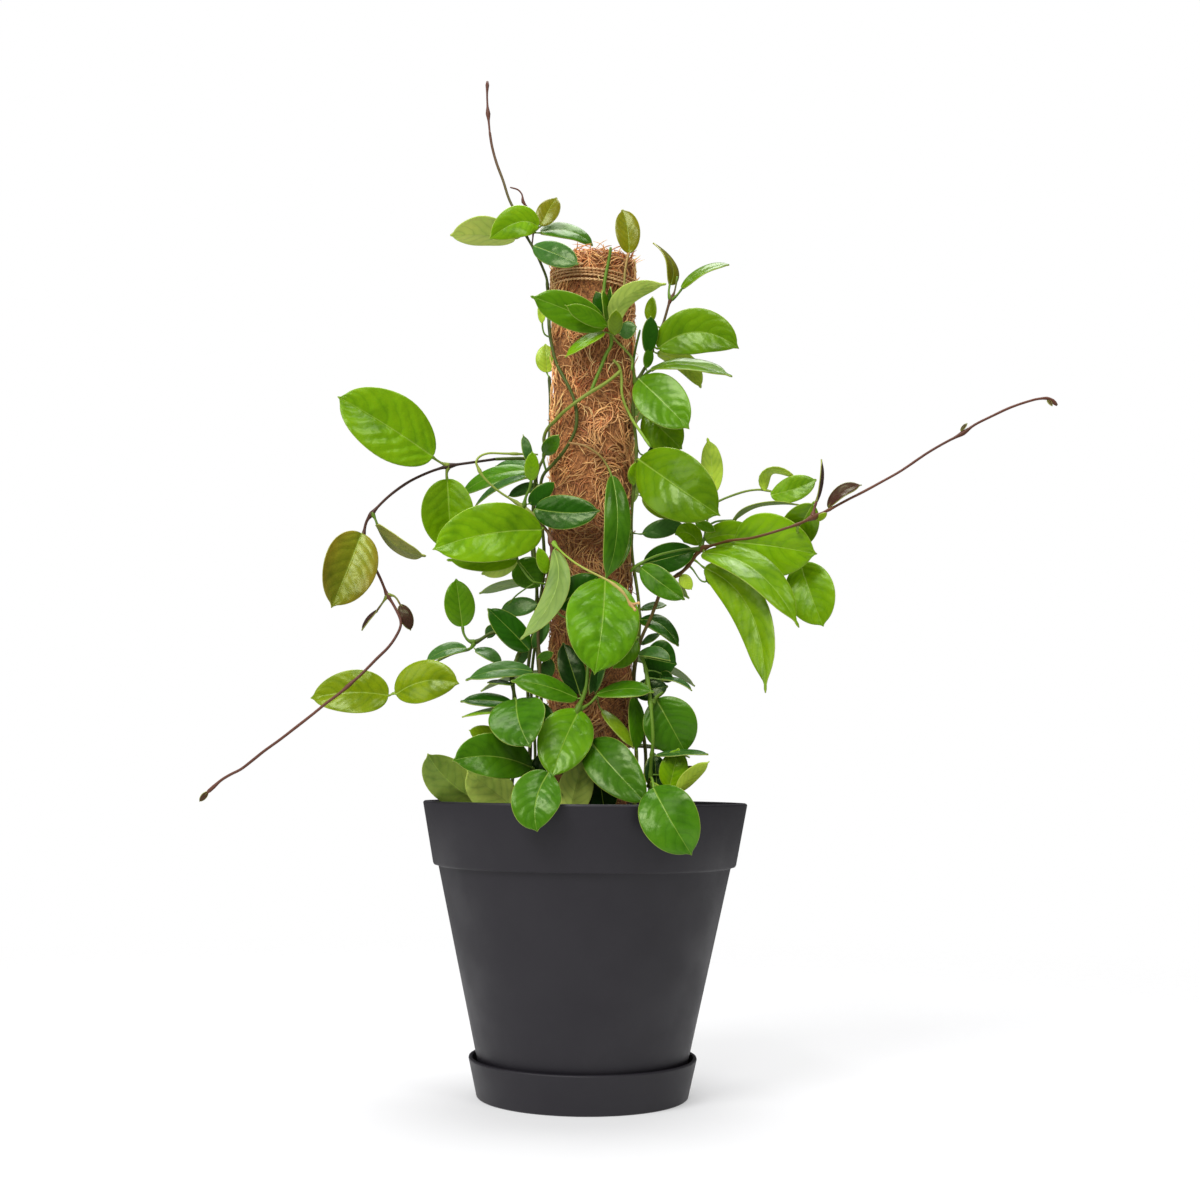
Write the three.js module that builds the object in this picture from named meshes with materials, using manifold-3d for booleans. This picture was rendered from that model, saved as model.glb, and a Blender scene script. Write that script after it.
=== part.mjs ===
// A potted hoya that climbs a coir pole, with long arching shoots.
// Millimetres, +Z up, +X to the right and +Y away from the viewer.
// The origin is the centre of the saucer's underside.

import * as THREE from "three";
import { mergeVertices } from "three/addons/utils/BufferGeometryUtils.js";
import Module from "manifold-3d";

const library = await Module();
library.setup();

// Driving dimensions
const rimRadius = 100;
const rimTop = 182.1;
const bandBottom = 143.2;
const bandFootRadius = 93.1;
const shoulderRadius = 90;
const footRadius = 61.5;
const potWall = 3;
const saucerFootRadius = 65.6;
const saucerRimRadius = 70.6;
const saucerHeight = 24.9;
const saucerWall = 2.5;
const restGap = 0.3;
const soilTop = 164.5;
const poleX = 2;
const poleTop = 517;
const sleeveRadius = 24.8;
const sleeveRelief = 0.35;
const sleeveReach = sleeveRadius + 2 * sleeveRelief;
const sleeveBottom = 34;
const stakeRadius = 11;
const stakeBottom = 20;
const twineRadius = 1.05;
const twineTurns = 5;
const twineLow = 495;
const holeClearance = 0.8;

// Where the photograph was taken from: the routes below are read in the plane of the pole as the eye sees it
const eyeDistance = 1021;
const eyeHeight = 196.8;

// Leaf and stem form
const bladeHalfThickness = 0.5;
const petioleHalf = 0.85;
const tipHalfWidth = 0.35;
const longBlade = 55;
const mediumBlade = 36;
const narrowBlade = 9.5;
const foldAngle = THREE.MathUtils.degToRad(13);
const foldedFrom = 26;
const shortStalk = 4;
const touchingStalk = 1.2;
const archRatio = 0.1;
const hugClearance = 3;
const stemSides = 4;
const roundTurns = 32;

const up = new THREE.Vector3(0, 0, 1);
const eye = new THREE.Vector3(0, -eyeDistance, eyeHeight);

// A sight point is [x, z, depth]: x and z as the eye projects them on the plane of the pole, depth behind it
function place([x, z, depth]) {
  const spread = 1 + depth / eyeDistance;
  return new THREE.Vector3(x * spread, depth, eyeHeight + (z - eyeHeight) * spread);
}

// The sight point at (x, z) where a stem lies on the front of the pole
function hug(x, z, clearance = hugClearance) {
  const reach = sleeveReach + clearance;
  let depth = -reach;
  for (let round = 0; round < 4; round += 1) {
    const aside = x * (1 + depth / eyeDistance) - poleX;
    depth = -Math.sqrt(Math.max(reach * reach - aside * aside, 0));
  }
  return [x, z, depth];
}

// Numbers between 0 and 1 that are the same on every run
function seededDraws(seed) {
  let state = seed;
  return () => {
    state = (state * 1664525 + 1013904223) % 4294967296;
    return state / 4294967296;
  };
}

// Solids and their joins
function solidFrom(geometry) {
  const bare = geometry.clone();
  bare.deleteAttribute("normal");
  bare.deleteAttribute("uv");
  const merged = mergeVertices(bare, 1e-4);
  const vertProperties = Float32Array.from(merged.attributes.position.array);
  const triVerts = Uint32Array.from(merged.index.array);
  return new library.Manifold(new library.Mesh({ numProp: 3, vertProperties, triVerts }));
}

function geometryFrom(solid) {
  const mesh = solid.getMesh();
  const geometry = new THREE.BufferGeometry();
  geometry.setAttribute("position", new THREE.BufferAttribute(mesh.vertProperties, 3));
  geometry.setIndex(new THREE.BufferAttribute(mesh.triVerts, 1));
  geometry.computeVertexNormals();
  return geometry;
}

function fused(geometries) {
  return geometries.map(solidFrom).reduce((whole, piece) => whole.add(piece));
}

function polygon(radius, sides) {
  const corners = [];
  for (let index = 0; index < sides; index += 1) {
    const turn = (2 * Math.PI * index) / sides;
    corners.push(new THREE.Vector2(radius * Math.cos(turn), radius * Math.sin(turn)));
  }
  return new THREE.Shape(corners);
}

// A turned piece: the outline is a closed ring of [radius, height] points
function turned(outline, turns = roundTurns) {
  const points = outline.map(([radius, height]) => new THREE.Vector2(radius, height));
  return new THREE.LatheGeometry(points, turns).rotateX(Math.PI / 2);
}

// Stems
// A stem's rings stand at its own route points, close together only where it bends
class StemRoute extends THREE.CatmullRomCurve3 {
  getPointAt(share) {
    return this.getPoint(share);
  }

  getTangentAt(share) {
    return this.getTangent(share);
  }
}

function stemTube(points, radius) {
  const extrudePath = new StemRoute(points, false, "centripetal");
  return new THREE.ExtrudeGeometry(polygon(radius, stemSides), { steps: points.length - 1, extrudePath });
}

// Leaves
// The share of the full width at a share of the blade's length: widest short of the middle, tip drawn out
function widthShare(share) {
  return Math.sin(Math.PI * share ** 0.8) ** 0.75;
}

function crosswise(vector, direction) {
  return vector.clone().addScaledVector(direction, -vector.dot(direction));
}

// Side and face directions of a row of the blade, square to its run
function rowFrame(run, side, face) {
  const flatSide = crosswise(side, run);
  const flatFace = crosswise(face, run);
  if (flatSide.length() >= flatFace.length()) {
    flatSide.normalize();
    return { side: flatSide, face: flatSide.clone().cross(run) };
  }
  flatFace.normalize();
  return { side: run.clone().cross(flatFace), face: flatFace };
}

// A closed sheet between its upper and under face, both split into triangles alike
function sheetGeometry(rows) {
  const columns = rows[0].upper.length;
  const positions = [];
  const triangles = [];
  for (const row of rows) {
    for (let column = 0; column < columns; column += 1) {
      positions.push(...row.upper[column].toArray(), ...row.under[column].toArray());
    }
  }
  const upper = (row, column) => (row * columns + column) * 2;
  const under = (row, column) => (row * columns + column) * 2 + 1;
  const quad = (a, b, c, d) => triangles.push(a, b, c, a, c, d);
  const last = rows.length - 1;
  for (let row = 0; row < last; row += 1) {
    for (let column = 0; column < columns - 1; column += 1) {
      const next = column + 1;
      quad(upper(row, column), upper(row, next), upper(row + 1, next), upper(row + 1, column));
      triangles.push(under(row, column), under(row + 1, next), under(row, next));
      triangles.push(under(row, column), under(row + 1, column), under(row + 1, next));
    }
    const edge = columns - 1;
    quad(under(row, 0), upper(row, 0), upper(row + 1, 0), under(row + 1, 0));
    quad(under(row, edge), under(row + 1, edge), upper(row + 1, edge), upper(row, edge));
  }
  for (let column = 0; column < columns - 1; column += 1) {
    const next = column + 1;
    quad(under(0, column), under(0, next), upper(0, next), upper(0, column));
    quad(under(last, column), upper(last, column), upper(last, next), under(last, next));
  }
  const geometry = new THREE.BufferGeometry();
  geometry.setAttribute("position", new THREE.Float32BufferAttribute(positions, 3));
  geometry.setIndex(triangles);
  return geometry;
}

// How many rows a blade has between its base and its tip
function stationCount(length, wide) {
  if (wide >= foldedFrom) {
    return length > longBlade ? 5 : 4;
  }
  if (length > mediumBlade) {
    return 4;
  }
  return wide < narrowBlade ? 2 : 3;
}

// One leaf: a petiole from its root on the stem, and a blade along its spine, which is folded up a little
// when it is large
function leafGeometry({ root, spine, wide, face }) {
  const length = spine.getLength();
  const folded = wide >= foldedFrom;
  const columns = folded ? [-1, 0, 1] : [-1, 1];
  const stations = stationCount(length, wide);
  const fold = folded ? foldAngle : 0;
  const rows = [];
  const addRow = (centre, run, half, thickness, rise) => {
    const side = run.clone().cross(face);
    const frame = rowFrame(run, side, face);
    const corner = (column, offset) =>
      centre
        .clone()
        .addScaledVector(frame.side, column * half * Math.cos(rise))
        .addScaledVector(frame.face, Math.abs(column) * half * Math.sin(rise) + offset);
    rows.push({
      upper: columns.map((column) => corner(column, thickness)),
      under: columns.map((column) => corner(column, -thickness)),
    });
  };
  const base = spine.getPoint(0);
  const first = spine.getTangent(0);
  const stalk = base.clone().sub(root);
  const near = stalk.length() < shortStalk;
  const stalkRun = near ? first.clone() : stalk.clone().normalize();
  const touching = stalk.length() < touchingStalk;
  const start = touching ? base.clone().addScaledVector(first, -2 * touchingStalk) : root;
  addRow(start, stalkRun, petioleHalf, petioleHalf, 0);
  if (!near) {
    addRow(base, stalkRun.clone().add(first).normalize(), petioleHalf, petioleHalf, 0);
  }
  for (let index = 1; index <= stations; index += 1) {
    const share = (1 - Math.cos((Math.PI * index) / (stations + 1))) / 2;
    const half = (wide / 2) * widthShare(share);
    addRow(spine.getPoint(share), spine.getTangent(share), half, bladeHalfThickness, fold);
  }
  addRow(spine.getPoint(1), spine.getTangent(1), tipHalfWidth, bladeHalfThickness, 0);
  return sheetGeometry(rows);
}

// The spine and the upper face's direction of a leaf that is given as the eye sees it.
// At tilt 0 the upper face looks at the eye, at 90 it looks skyward and the blade is seen from its edge.
function seenLeaf({ from, over, to, wide, tilt }) {
  const base = place(from);
  const tip = place(to);
  const run = tip.clone().sub(base).normalize();
  const toEye = crosswise(eye.clone().sub(base).normalize(), run).normalize();
  const skyward = run.clone().cross(toEye);
  if (skyward.x * 0.25 + skyward.z < 0) {
    skyward.negate();
  }
  const angle = THREE.MathUtils.degToRad(tilt);
  const face = toEye.multiplyScalar(Math.cos(angle)).addScaledVector(skyward, Math.sin(angle));
  const middle = base.clone().add(tip).multiplyScalar(0.5);
  const arched = middle.clone().addScaledVector(face, archRatio * base.distanceTo(tip));
  const bend = over ? place(over).multiplyScalar(2).sub(middle) : arched;
  return { spine: new THREE.QuadraticBezierCurve3(base, bend, tip), wide, face };
}

// The point of the stems that a leaf's petiole grows from: close to its base and not beyond it
function rootOn(stems, spine) {
  const base = spine.getPoint(0);
  const run = spine.getTangent(0);
  let best = null;
  let bestCost = Infinity;
  for (const stem of stems) {
    const count = stem.points.length * 6;
    for (const point of new StemRoute(stem.points, false, "centripetal").getPoints(count)) {
      const away = point.clone().sub(base);
      const cost = away.length() + 0.6 * Math.max(away.dot(run), 0);
      if (cost < bestCost) {
        best = point;
        bestCost = cost;
      }
    }
  }
  return best;
}

// A vine: its stems, and its leaves rooted on them, grown together
function grownVine({ stems, leaves }) {
  const pieces = stems.map((stem) => stemTube(stem.points, stem.radius));
  for (const leaf of leaves) {
    pieces.push(leafGeometry({ ...leaf, root: rootOn(stems, leaf.spine) }));
  }
  return fused(pieces);
}

function seenVine({ stems, leaves }) {
  return {
    stems: stems.map(({ radius, route }) => ({ radius, points: route.map(place) })),
    leaves: leaves.map(seenLeaf),
  };
}

// The vines that the photograph shows, each in its own table.
// A stem is a radius and its route, a leaf runs from its base over its middle to its tip.

// Climbs the front of the pole and ends above it in the tall bare tendril
const vineCrown = {
  stems: [
    {
      radius: 1.3,
      route: [
        [-30, 150, 4], [-29.5, 185, 3], [-29, 230, 2], [-29, 280, 0], [-29, 330, -3], [-28.5, 365, -8],
        [-26.5, 384, -15], hug(-21, 391), hug(-16, 398), hug(-12.5, 404.5), hug(-9.5, 412),
        hug(-8.8, 420), hug(-10.9, 432), hug(-16, 444), hug(-20.2, 453), hug(-23.3, 466), hug(-25, 478),
        hug(-25.8, 492), [-27, 505, -16],
      ],
    },
    {
      radius: 1,
      route: [
        [-26.6, 500, -15.5], [-27.2, 506, -16], [-30.3, 514, -17], [-35, 524, -17], [-39.8, 532, -16],
        [-43.7, 541.5, -14], [-50.7, 554.4, -12], [-55, 567, -9], [-59, 577.4, -7], [-62, 588, -5],
        [-63.6, 597.5, -4],
      ],
    },
    {
      radius: 0.75,
      route: [
        [-63.3, 595, -4], [-64.6, 608, -3], [-65.3, 618.5, -2], [-65.2, 628, -1],
      ],
    },
    {
      radius: 0.6,
      route: [
        [-36.5, 527, -14], [-36, 536, -8], [-38.5, 548.5, -6], [-42.3, 553.5, -6], [-43, 558, -6],
        [-45.5, 561, -6], [-50.5, 562.5, -6],
      ],
    },
    {
      radius: 0.8,
      route: [
        hug(-12.5, 404.5), hug(-3.3, 403), hug(2.5, 400), hug(7.6, 396), hug(11.8, 390, 4),
        [14.6, 383, -33],
      ],
    },
    {
      radius: 0.7,
      route: [
        hug(-23.8, 469.5), [-28, 471.5, -14], [-29.6, 477, -15], [-29.4, 484, -17], [-30.6, 489, -20],
      ],
    },
    {
      radius: 0.8,
      route: [
        [-26, 386, -16], [-28, 393, -18], [-28.2, 399, -20],
      ],
    },
  ],
  leaves: [
    { from: [-37, 531, -16], to: [-86, 532.5, -34], wide: 26, tilt: 130 },
    { from: [-33, 537, -12], over: [-43, 543, -10], to: [-60, 535, -18], wide: 20, tilt: 125 },
    { from: [-31, 539, -13], to: [-21.8, 555.8, -8], wide: 14, tilt: 20 },
    { from: [-31, 534.5, -10], over: [-14, 535.5, -5], to: [0.3, 527.5, -2], wide: 16, tilt: 118 },
    { from: [-35, 526, -21], over: [-21, 521, -31], to: [-8.5, 515.5, -36], wide: 16, tilt: 25 },
    { from: [-27.5, 397.5, -21], to: [-19, 409, -34], wide: 9.5, tilt: 0 },
    { from: [14.5, 384, -33], over: [18, 352, -42], to: [11.5, 321, -38], wide: 17, tilt: 15 },
  ],
};

// Comes up behind the pole and twists across its front
const vineTwist = {
  stems: [
    {
      radius: 1.4,
      route: [
        [8, 150, 31], [8, 200, 31], [8, 250, 31], [6, 300, 31], [0, 345, 31], [-10, 375, 29],
        [-20, 393, 22], [-27.5, 404, 8], [-28, 409.5, -2], hug(-26.3, 413.5, 3.5), hug(-21.8, 418, 4),
        hug(-17.6, 422.5, 5), hug(-10, 428.5, 6), hug(0, 435.5, 5), hug(9, 441, 4), hug(15.5, 446),
        hug(19.6, 450),
      ],
    },
    {
      radius: 1.3,
      route: [
        hug(1, 436.5, 4), hug(5.3, 445, 4), hug(8.2, 452, 4), hug(10.2, 459, 4), hug(13, 466, 4),
        hug(12.5, 471, 4), hug(12.3, 478, 4),
      ],
    },
    {
      radius: 1.2,
      route: [
        hug(12.3, 476, 4), hug(10.5, 490, 4), hug(10.5, 502, 4), hug(11.3, 515), [12.3, 526, -28],
      ],
    },
    {
      radius: 1.1,
      route: [
        hug(14.6, 456), hug(18.3, 452), hug(19.8, 444.5), hug(20, 436.3), hug(21.7, 429.7),
        [24.7, 423.3, -19], [26.9, 419, -20], [31, 413, -26], [34.7, 407.6, -29], [38.3, 402.4, -30],
      ],
    },
    {
      radius: 0.9,
      route: [
        hug(12.6, 472, 4), hug(17.8, 466.5), hug(22, 462.3, 4), [26.2, 457, -20], [26, 450, -21],
      ],
    },
    {
      radius: 0.9,
      route: [
        hug(13, 474, 4), [17, 479, -32], [20.6, 500, -26], [21.3, 511, -25], [22.4, 518, -24],
        [23.7, 523.5, -23],
      ],
    },
  ],
  leaves: [
    { from: [9.5, 477, -33], to: [-35.6, 494.6, -44], wide: 21, tilt: 12 },
    { from: [10.2, 477.3, -36], to: [-15, 489.5, -50], wide: 10, tilt: 10 },
    { from: [9.9, 480.5, -36], to: [7.4, 498.5, -42], wide: 9, tilt: 62 },
    { from: [9.2, 484.5, -31], to: [3.6, 498, -32], wide: 10, tilt: -20 },
    { from: [16, 478, -33], over: [22, 495.5, -40], to: [45.6, 503.4, -50], wide: 15, tilt: 140 },
    { from: [18.6, 472.5, -30], to: [28.6, 476.8, -35], wide: 11, tilt: 20 },
    { from: [15, 472, -37], to: [16, 487, -45], wide: 9, tilt: 10 },
    { from: [9, 473, -31], to: [-14.6, 458, -37], wide: 11, tilt: 50 },
    { from: [23.7, 522.5, -23], over: [22.6, 537, -23], to: [19.4, 548.6, -20], wide: 15, tilt: 5 },
  ],
};

// Climbs the right side of the pole, with the large leaves beside it
const vineRightHigh = {
  stems: [
    {
      radius: 1.3,
      route: [
        [31, 150, 6], [30.5, 200, 3], [30.5, 250, 0], [30.5, 300, -3], [29, 340, -6], [27.4, 376, -9],
        [28.4, 398, -10], [28.4, 407, -10], [27.6, 418, -11], [27.4, 430, -12], [29, 440, -13],
        [32.5, 448, -14], [36.5, 455, -14], [38.7, 461.8, -14],
      ],
    },
    {
      radius: 0.95,
      route: [
        [38, 460, -14], [39.7, 467, -14], [42.2, 472.5, -14], [44.9, 478, -14], [49, 492, -14],
        [50.2, 495, -14],
      ],
    },
    {
      radius: 0.65,
      route: [
        [49.9, 494, -14], [52, 498.5, -14], [53.8, 508.3, -14],
      ],
    },
    {
      radius: 0.9,
      route: [
        [28.8, 440, -13], [26.9, 452, -15], [28, 461.5, -16], [29.7, 469.5, -17], [31, 475, -18],
      ],
    },
    {
      radius: 0.8,
      route: [
        [49.8, 493.5, -14], [48.6, 498, -14], [49.3, 504.5, -12],
      ],
    },
    {
      radius: 0.8,
      route: [
        [50, 494, -14], [53.5, 496.5, -14], [57.2, 501.5, -14],
      ],
    },
    {
      radius: 0.8,
      route: [
        [30.5, 444, -13], [34.5, 447.5, -15], [39, 450.8, -16],
      ],
    },
  ],
  leaves: [
    { from: [49.3, 503.5, -12], over: [49.8, 516.5, -9], to: [39.3, 528.3, -4], wide: 14, tilt: 65 },
    { from: [56.8, 501, -14], over: [69, 511.8, -18], to: [84.8, 515.8, -22], wide: 15, tilt: 66 },
    { from: [35.5, 461, -19], to: [37.5, 483, -22], wide: 11, tilt: 30 },
    { from: [37.8, 480, -15], to: [38.5, 495.2, -17], wide: 9, tilt: -30 },
    { from: [42.5, 463.5, -15], over: [66, 475.5, -23], to: [91.5, 463.5, -28], wide: 29, tilt: 12 },
    { from: [42, 460.5, -10], over: [58, 455, -4], to: [68.7, 440.3, 2], wide: 16, tilt: 135 },
    { from: [38, 450.5, -16], over: [60, 453.8, -27], to: [86.8, 447.2, -36], wide: 18, tilt: 68 },
    { from: [31, 444, -17], to: [61, 415, -34], wide: 29, tilt: 10 },
    { from: [35, 423, -2], to: [57, 402, -8], wide: 25, tilt: 0 },
    { from: [36, 397, 6], to: [58, 398, 2], wide: 17, tilt: 0 },
    { from: [32, 394, -22], over: [54.5, 378.5, -44], to: [80, 361.5, -52], wide: 39, tilt: 8 },
    { from: [27.5, 379, -14], to: [29, 392.5, -18], wide: 9, tilt: 20 },
    { from: [25.5, 348, -27], to: [15.5, 325, -35], wide: 9, tilt: 0 },
    { from: [34, 348.5, -9], to: [58.5, 354.5, -14], wide: 11.5, tilt: 20 },
    { from: [34, 371.5, -10], to: [50, 358, -12], wide: 9, tilt: 0 },
  ],
};

// Leaves the pole on the right and reaches out into the long tendril
const vineRightReach = {
  stems: [
    {
      radius: 1.3,
      route: [
        [34, 150, -16], [35.5, 190, -20], [35.5, 215, -22], [33.5, 240, -21], [31.5, 256, -18],
        [31.5, 270, -15], [32.5, 281, -13], [34.6, 288, -12], [37.7, 295.3, -12], [41.1, 304.4, -12],
        [44.5, 312.7, -12], [49, 319, -13], [57.8, 324.5, -16], [62.6, 329.2, -18], [66.6, 335.1, -20],
        [70, 339.3, -22],
      ],
    },
    {
      radius: 1.15,
      route: [
        [69, 338.5, -21.5], [72.3, 340.2, -23], [80.5, 342.8, -31], [88.6, 345, -39],
        [100.2, 346.4, -48], [109.3, 348.7, -54], [121.7, 352.6, -57], [129.6, 355.3, -57],
        [139.6, 360, -56], [147.7, 363.8, -55], [161.2, 371.2, -54], [170.3, 375.9, -53],
        [182, 382.4, -52],
      ],
    },
    {
      radius: 0.85,
      route: [
        [180, 381.3, -52], [193, 388.8, -51], [210, 400.5, -50], [219.6, 406.3, -50], [232, 413.1, -50],
        [239.2, 418.3, -49], [250.5, 424.1, -48], [260, 428.7, -47], [270, 432.4, -46],
        [279, 434.8, -45], [285.5, 434.7, -44], [290, 430.8, -43],
      ],
    },
    {
      radius: 0.95,
      route: [
        [69.5, 339.3, -22], [64, 339.6, -24], [54, 338, -28], [43.4, 335.2, -31], [35.3, 331.7, -32],
        [29.5, 328, -31], [26.5, 325, -29],
      ],
    },
    {
      radius: 0.85,
      route: [
        [70, 339.5, -22], [72.2, 347, -18], [74, 358, -15], [76.6, 366.7, -15], [82, 369.8, -16],
        [88.3, 372.5, -17], [96.6, 375.3, -19], [102.3, 376.4, -21], [108.2, 376.6, -23],
        [113.6, 375.6, -26],
      ],
    },
    {
      radius: 0.8,
      route: [
        [73.3, 353, -17], [79, 356.5, -18], [91, 357.5, -21],
      ],
    },
    {
      radius: 0.8,
      route: [
        [139.3, 359.8, -56], [140, 364.5, -55], [141.6, 370, -55],
      ],
    },
  ],
  leaves: [
    { from: [76, 373, -15], over: [76.4, 391, -14], to: [73.7, 407.3, -12], wide: 13.5, tilt: 5 },
    { from: [109.4, 376, -24], over: [112.8, 387.6, -29], to: [128, 384.3, -32], wide: 11, tilt: 112 },
    { from: [113.5, 373.5, -27], over: [127, 377, -34], to: [140.5, 382.8, -38], wide: 16, tilt: 20 },
    { from: [90.5, 357.5, -21], over: [106, 366.7, -27], to: [129.5, 367.5, -34], wide: 14, tilt: 79 },
    { from: [91, 344, -33], over: [114, 342, -37], to: [140.5, 337.5, -43], wide: 39, tilt: 5 },
    { from: [139, 368, -46], to: [124, 341, -26], wide: 22, tilt: 0 },
    { from: [132, 331, -24], to: [146, 293.5, -34], wide: 30, tilt: 0 },
    { from: [72, 336.5, -26], over: [103, 327, -57], to: [130, 294, -68], wide: 24, tilt: 38 },
    { from: [73, 327.5, -20], over: [101, 302, -46], to: [111, 254, -64], wide: 24, tilt: -22 },
    { from: [74, 319.5, -10], to: [91, 330, -15], wide: 14, tilt: 0 },
    { from: [69, 342, -19], over: [62.5, 349, -17], to: [54.5, 348.5, -15], wide: 13, tilt: 10 },
    { from: [73, 345, -18], over: [90, 348.5, -26], to: [110, 343, -32], wide: 17, tilt: 5 },
    { from: [35, 330, -16], to: [66, 338, -22], wide: 18, tilt: 0 },
    { from: [33.5, 327.5, -30], to: [59.5, 308.5, -42], wide: 16, tilt: 10 },
    { from: [58, 323, -14], to: [64.5, 314.5, -15], wide: 8, tilt: 0 },
    { from: [30, 283, -32], to: [17, 265.5, -36], wide: 15, tilt: 0 },
    { from: [141.5, 369.5, -55], to: [144.3, 395, -53], wide: 7, tilt: 73 },
    { from: [149, 366, -53], over: [157, 375.3, -55], to: [168.6, 380, -55], wide: 10, tilt: 52 },
  ],
};

// Arches out to the left and hangs down to its trailing tip
const vineLeftArch = {
  stems: [
    {
      radius: 1.3,
      route: [
        [-37, 150, -2], [-36, 200, -4], [-35, 240, -5], [-34, 280, -6], [-33, 320, -8], [-33, 350, -10],
        [-33, 372, -12], [-33, 385, -15], [-34, 391.5, -18], [-38.6, 394.1, -20], [-49.7, 394.3, -22],
        [-59.6, 393.8, -24],
      ],
    },
    {
      radius: 1.15,
      route: [
        [-58, 393.9, -24], [-71.7, 391.8, -26], [-86, 389.5, -28], [-93.7, 387.3, -29],
        [-100.3, 384.8, -30], [-111.2, 379.4, -31], [-122.2, 371.5, -32], [-128.7, 365.4, -32],
        [-134.1, 359.3, -32], [-137.4, 354.3, -32], [-139, 347, -32], [-140, 341.5, -32],
        [-137.7, 336, -32], [-132.6, 327.2, -32], [-128.1, 318.4, -32], [-124, 308.4, -32],
      ],
    },
    {
      radius: 0.85,
      route: [
        [-124.8, 310, -32], [-119.6, 302, -33], [-115.8, 294, -35], [-115.6, 289.7, -36],
        [-118.3, 283.5, -38], [-122.7, 277, -40], [-130.4, 269.2, -43], [-139.1, 260.2, -46],
        [-146.3, 253.7, -47], [-152.3, 248.3, -48], [-161.1, 241.6, -48], [-169.9, 234.3, -48],
        [-179.8, 226.4, -48], [-189.7, 218.6, -48], [-199.6, 211.3, -48], [-207.3, 205, -48],
        [-213.9, 199.9, -48], [-220.5, 196.5, -48], [-226, 193, -48], [-230.4, 189, -48],
        [-234.7, 185.1, -48],
      ],
    },
    {
      radius: 0.85,
      route: [
        [-86.5, 389.5, -28], [-92, 391.5, -30], [-98.5, 396, -34],
      ],
    },
    {
      radius: 0.85,
      route: [
        [-86.8, 389.5, -28], [-88, 385, -27], [-87.5, 379.5, -26],
      ],
    },
    {
      radius: 0.8,
      route: [
        [-134, 359.5, -32], [-132, 356, -33], [-130, 350.5, -33.5],
      ],
    },
    {
      radius: 0.7,
      route: [
        [-124, 308.6, -32], [-127, 304, -32.5], [-130.6, 298.8, -33],
      ],
    },
    {
      radius: 0.7,
      route: [
        [-123.8, 309, -32], [-119.5, 308.2, -31], [-115.3, 302, -31],
      ],
    },
  ],
  leaves: [
    { from: [-97, 395, -34], to: [-154, 430.5, -54], wide: 40, tilt: 12 },
    { from: [-87.5, 381, -26], to: [-84, 338, -20], wide: 28, tilt: -8 },
    { from: [-130.8, 352.5, -33], over: [-118, 339.5, -37], to: [-101.5, 333.5, -40], wide: 15, tilt: 48 },
    { from: [-140.6, 346.5, -33], to: [-158, 302.3, -46], wide: 29, tilt: -8 },
    { from: [-130.3, 299.3, -33], to: [-139.4, 287.2, -36], wide: 6, tilt: 66 },
    { from: [-115.6, 303, -31], to: [-109.5, 287.6, -32], wide: 9, tilt: 25 },
    { from: [-234, 186, -48], to: [-239, 180, -48], wide: 3.6, tilt: 0 },
  ],
};

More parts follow.
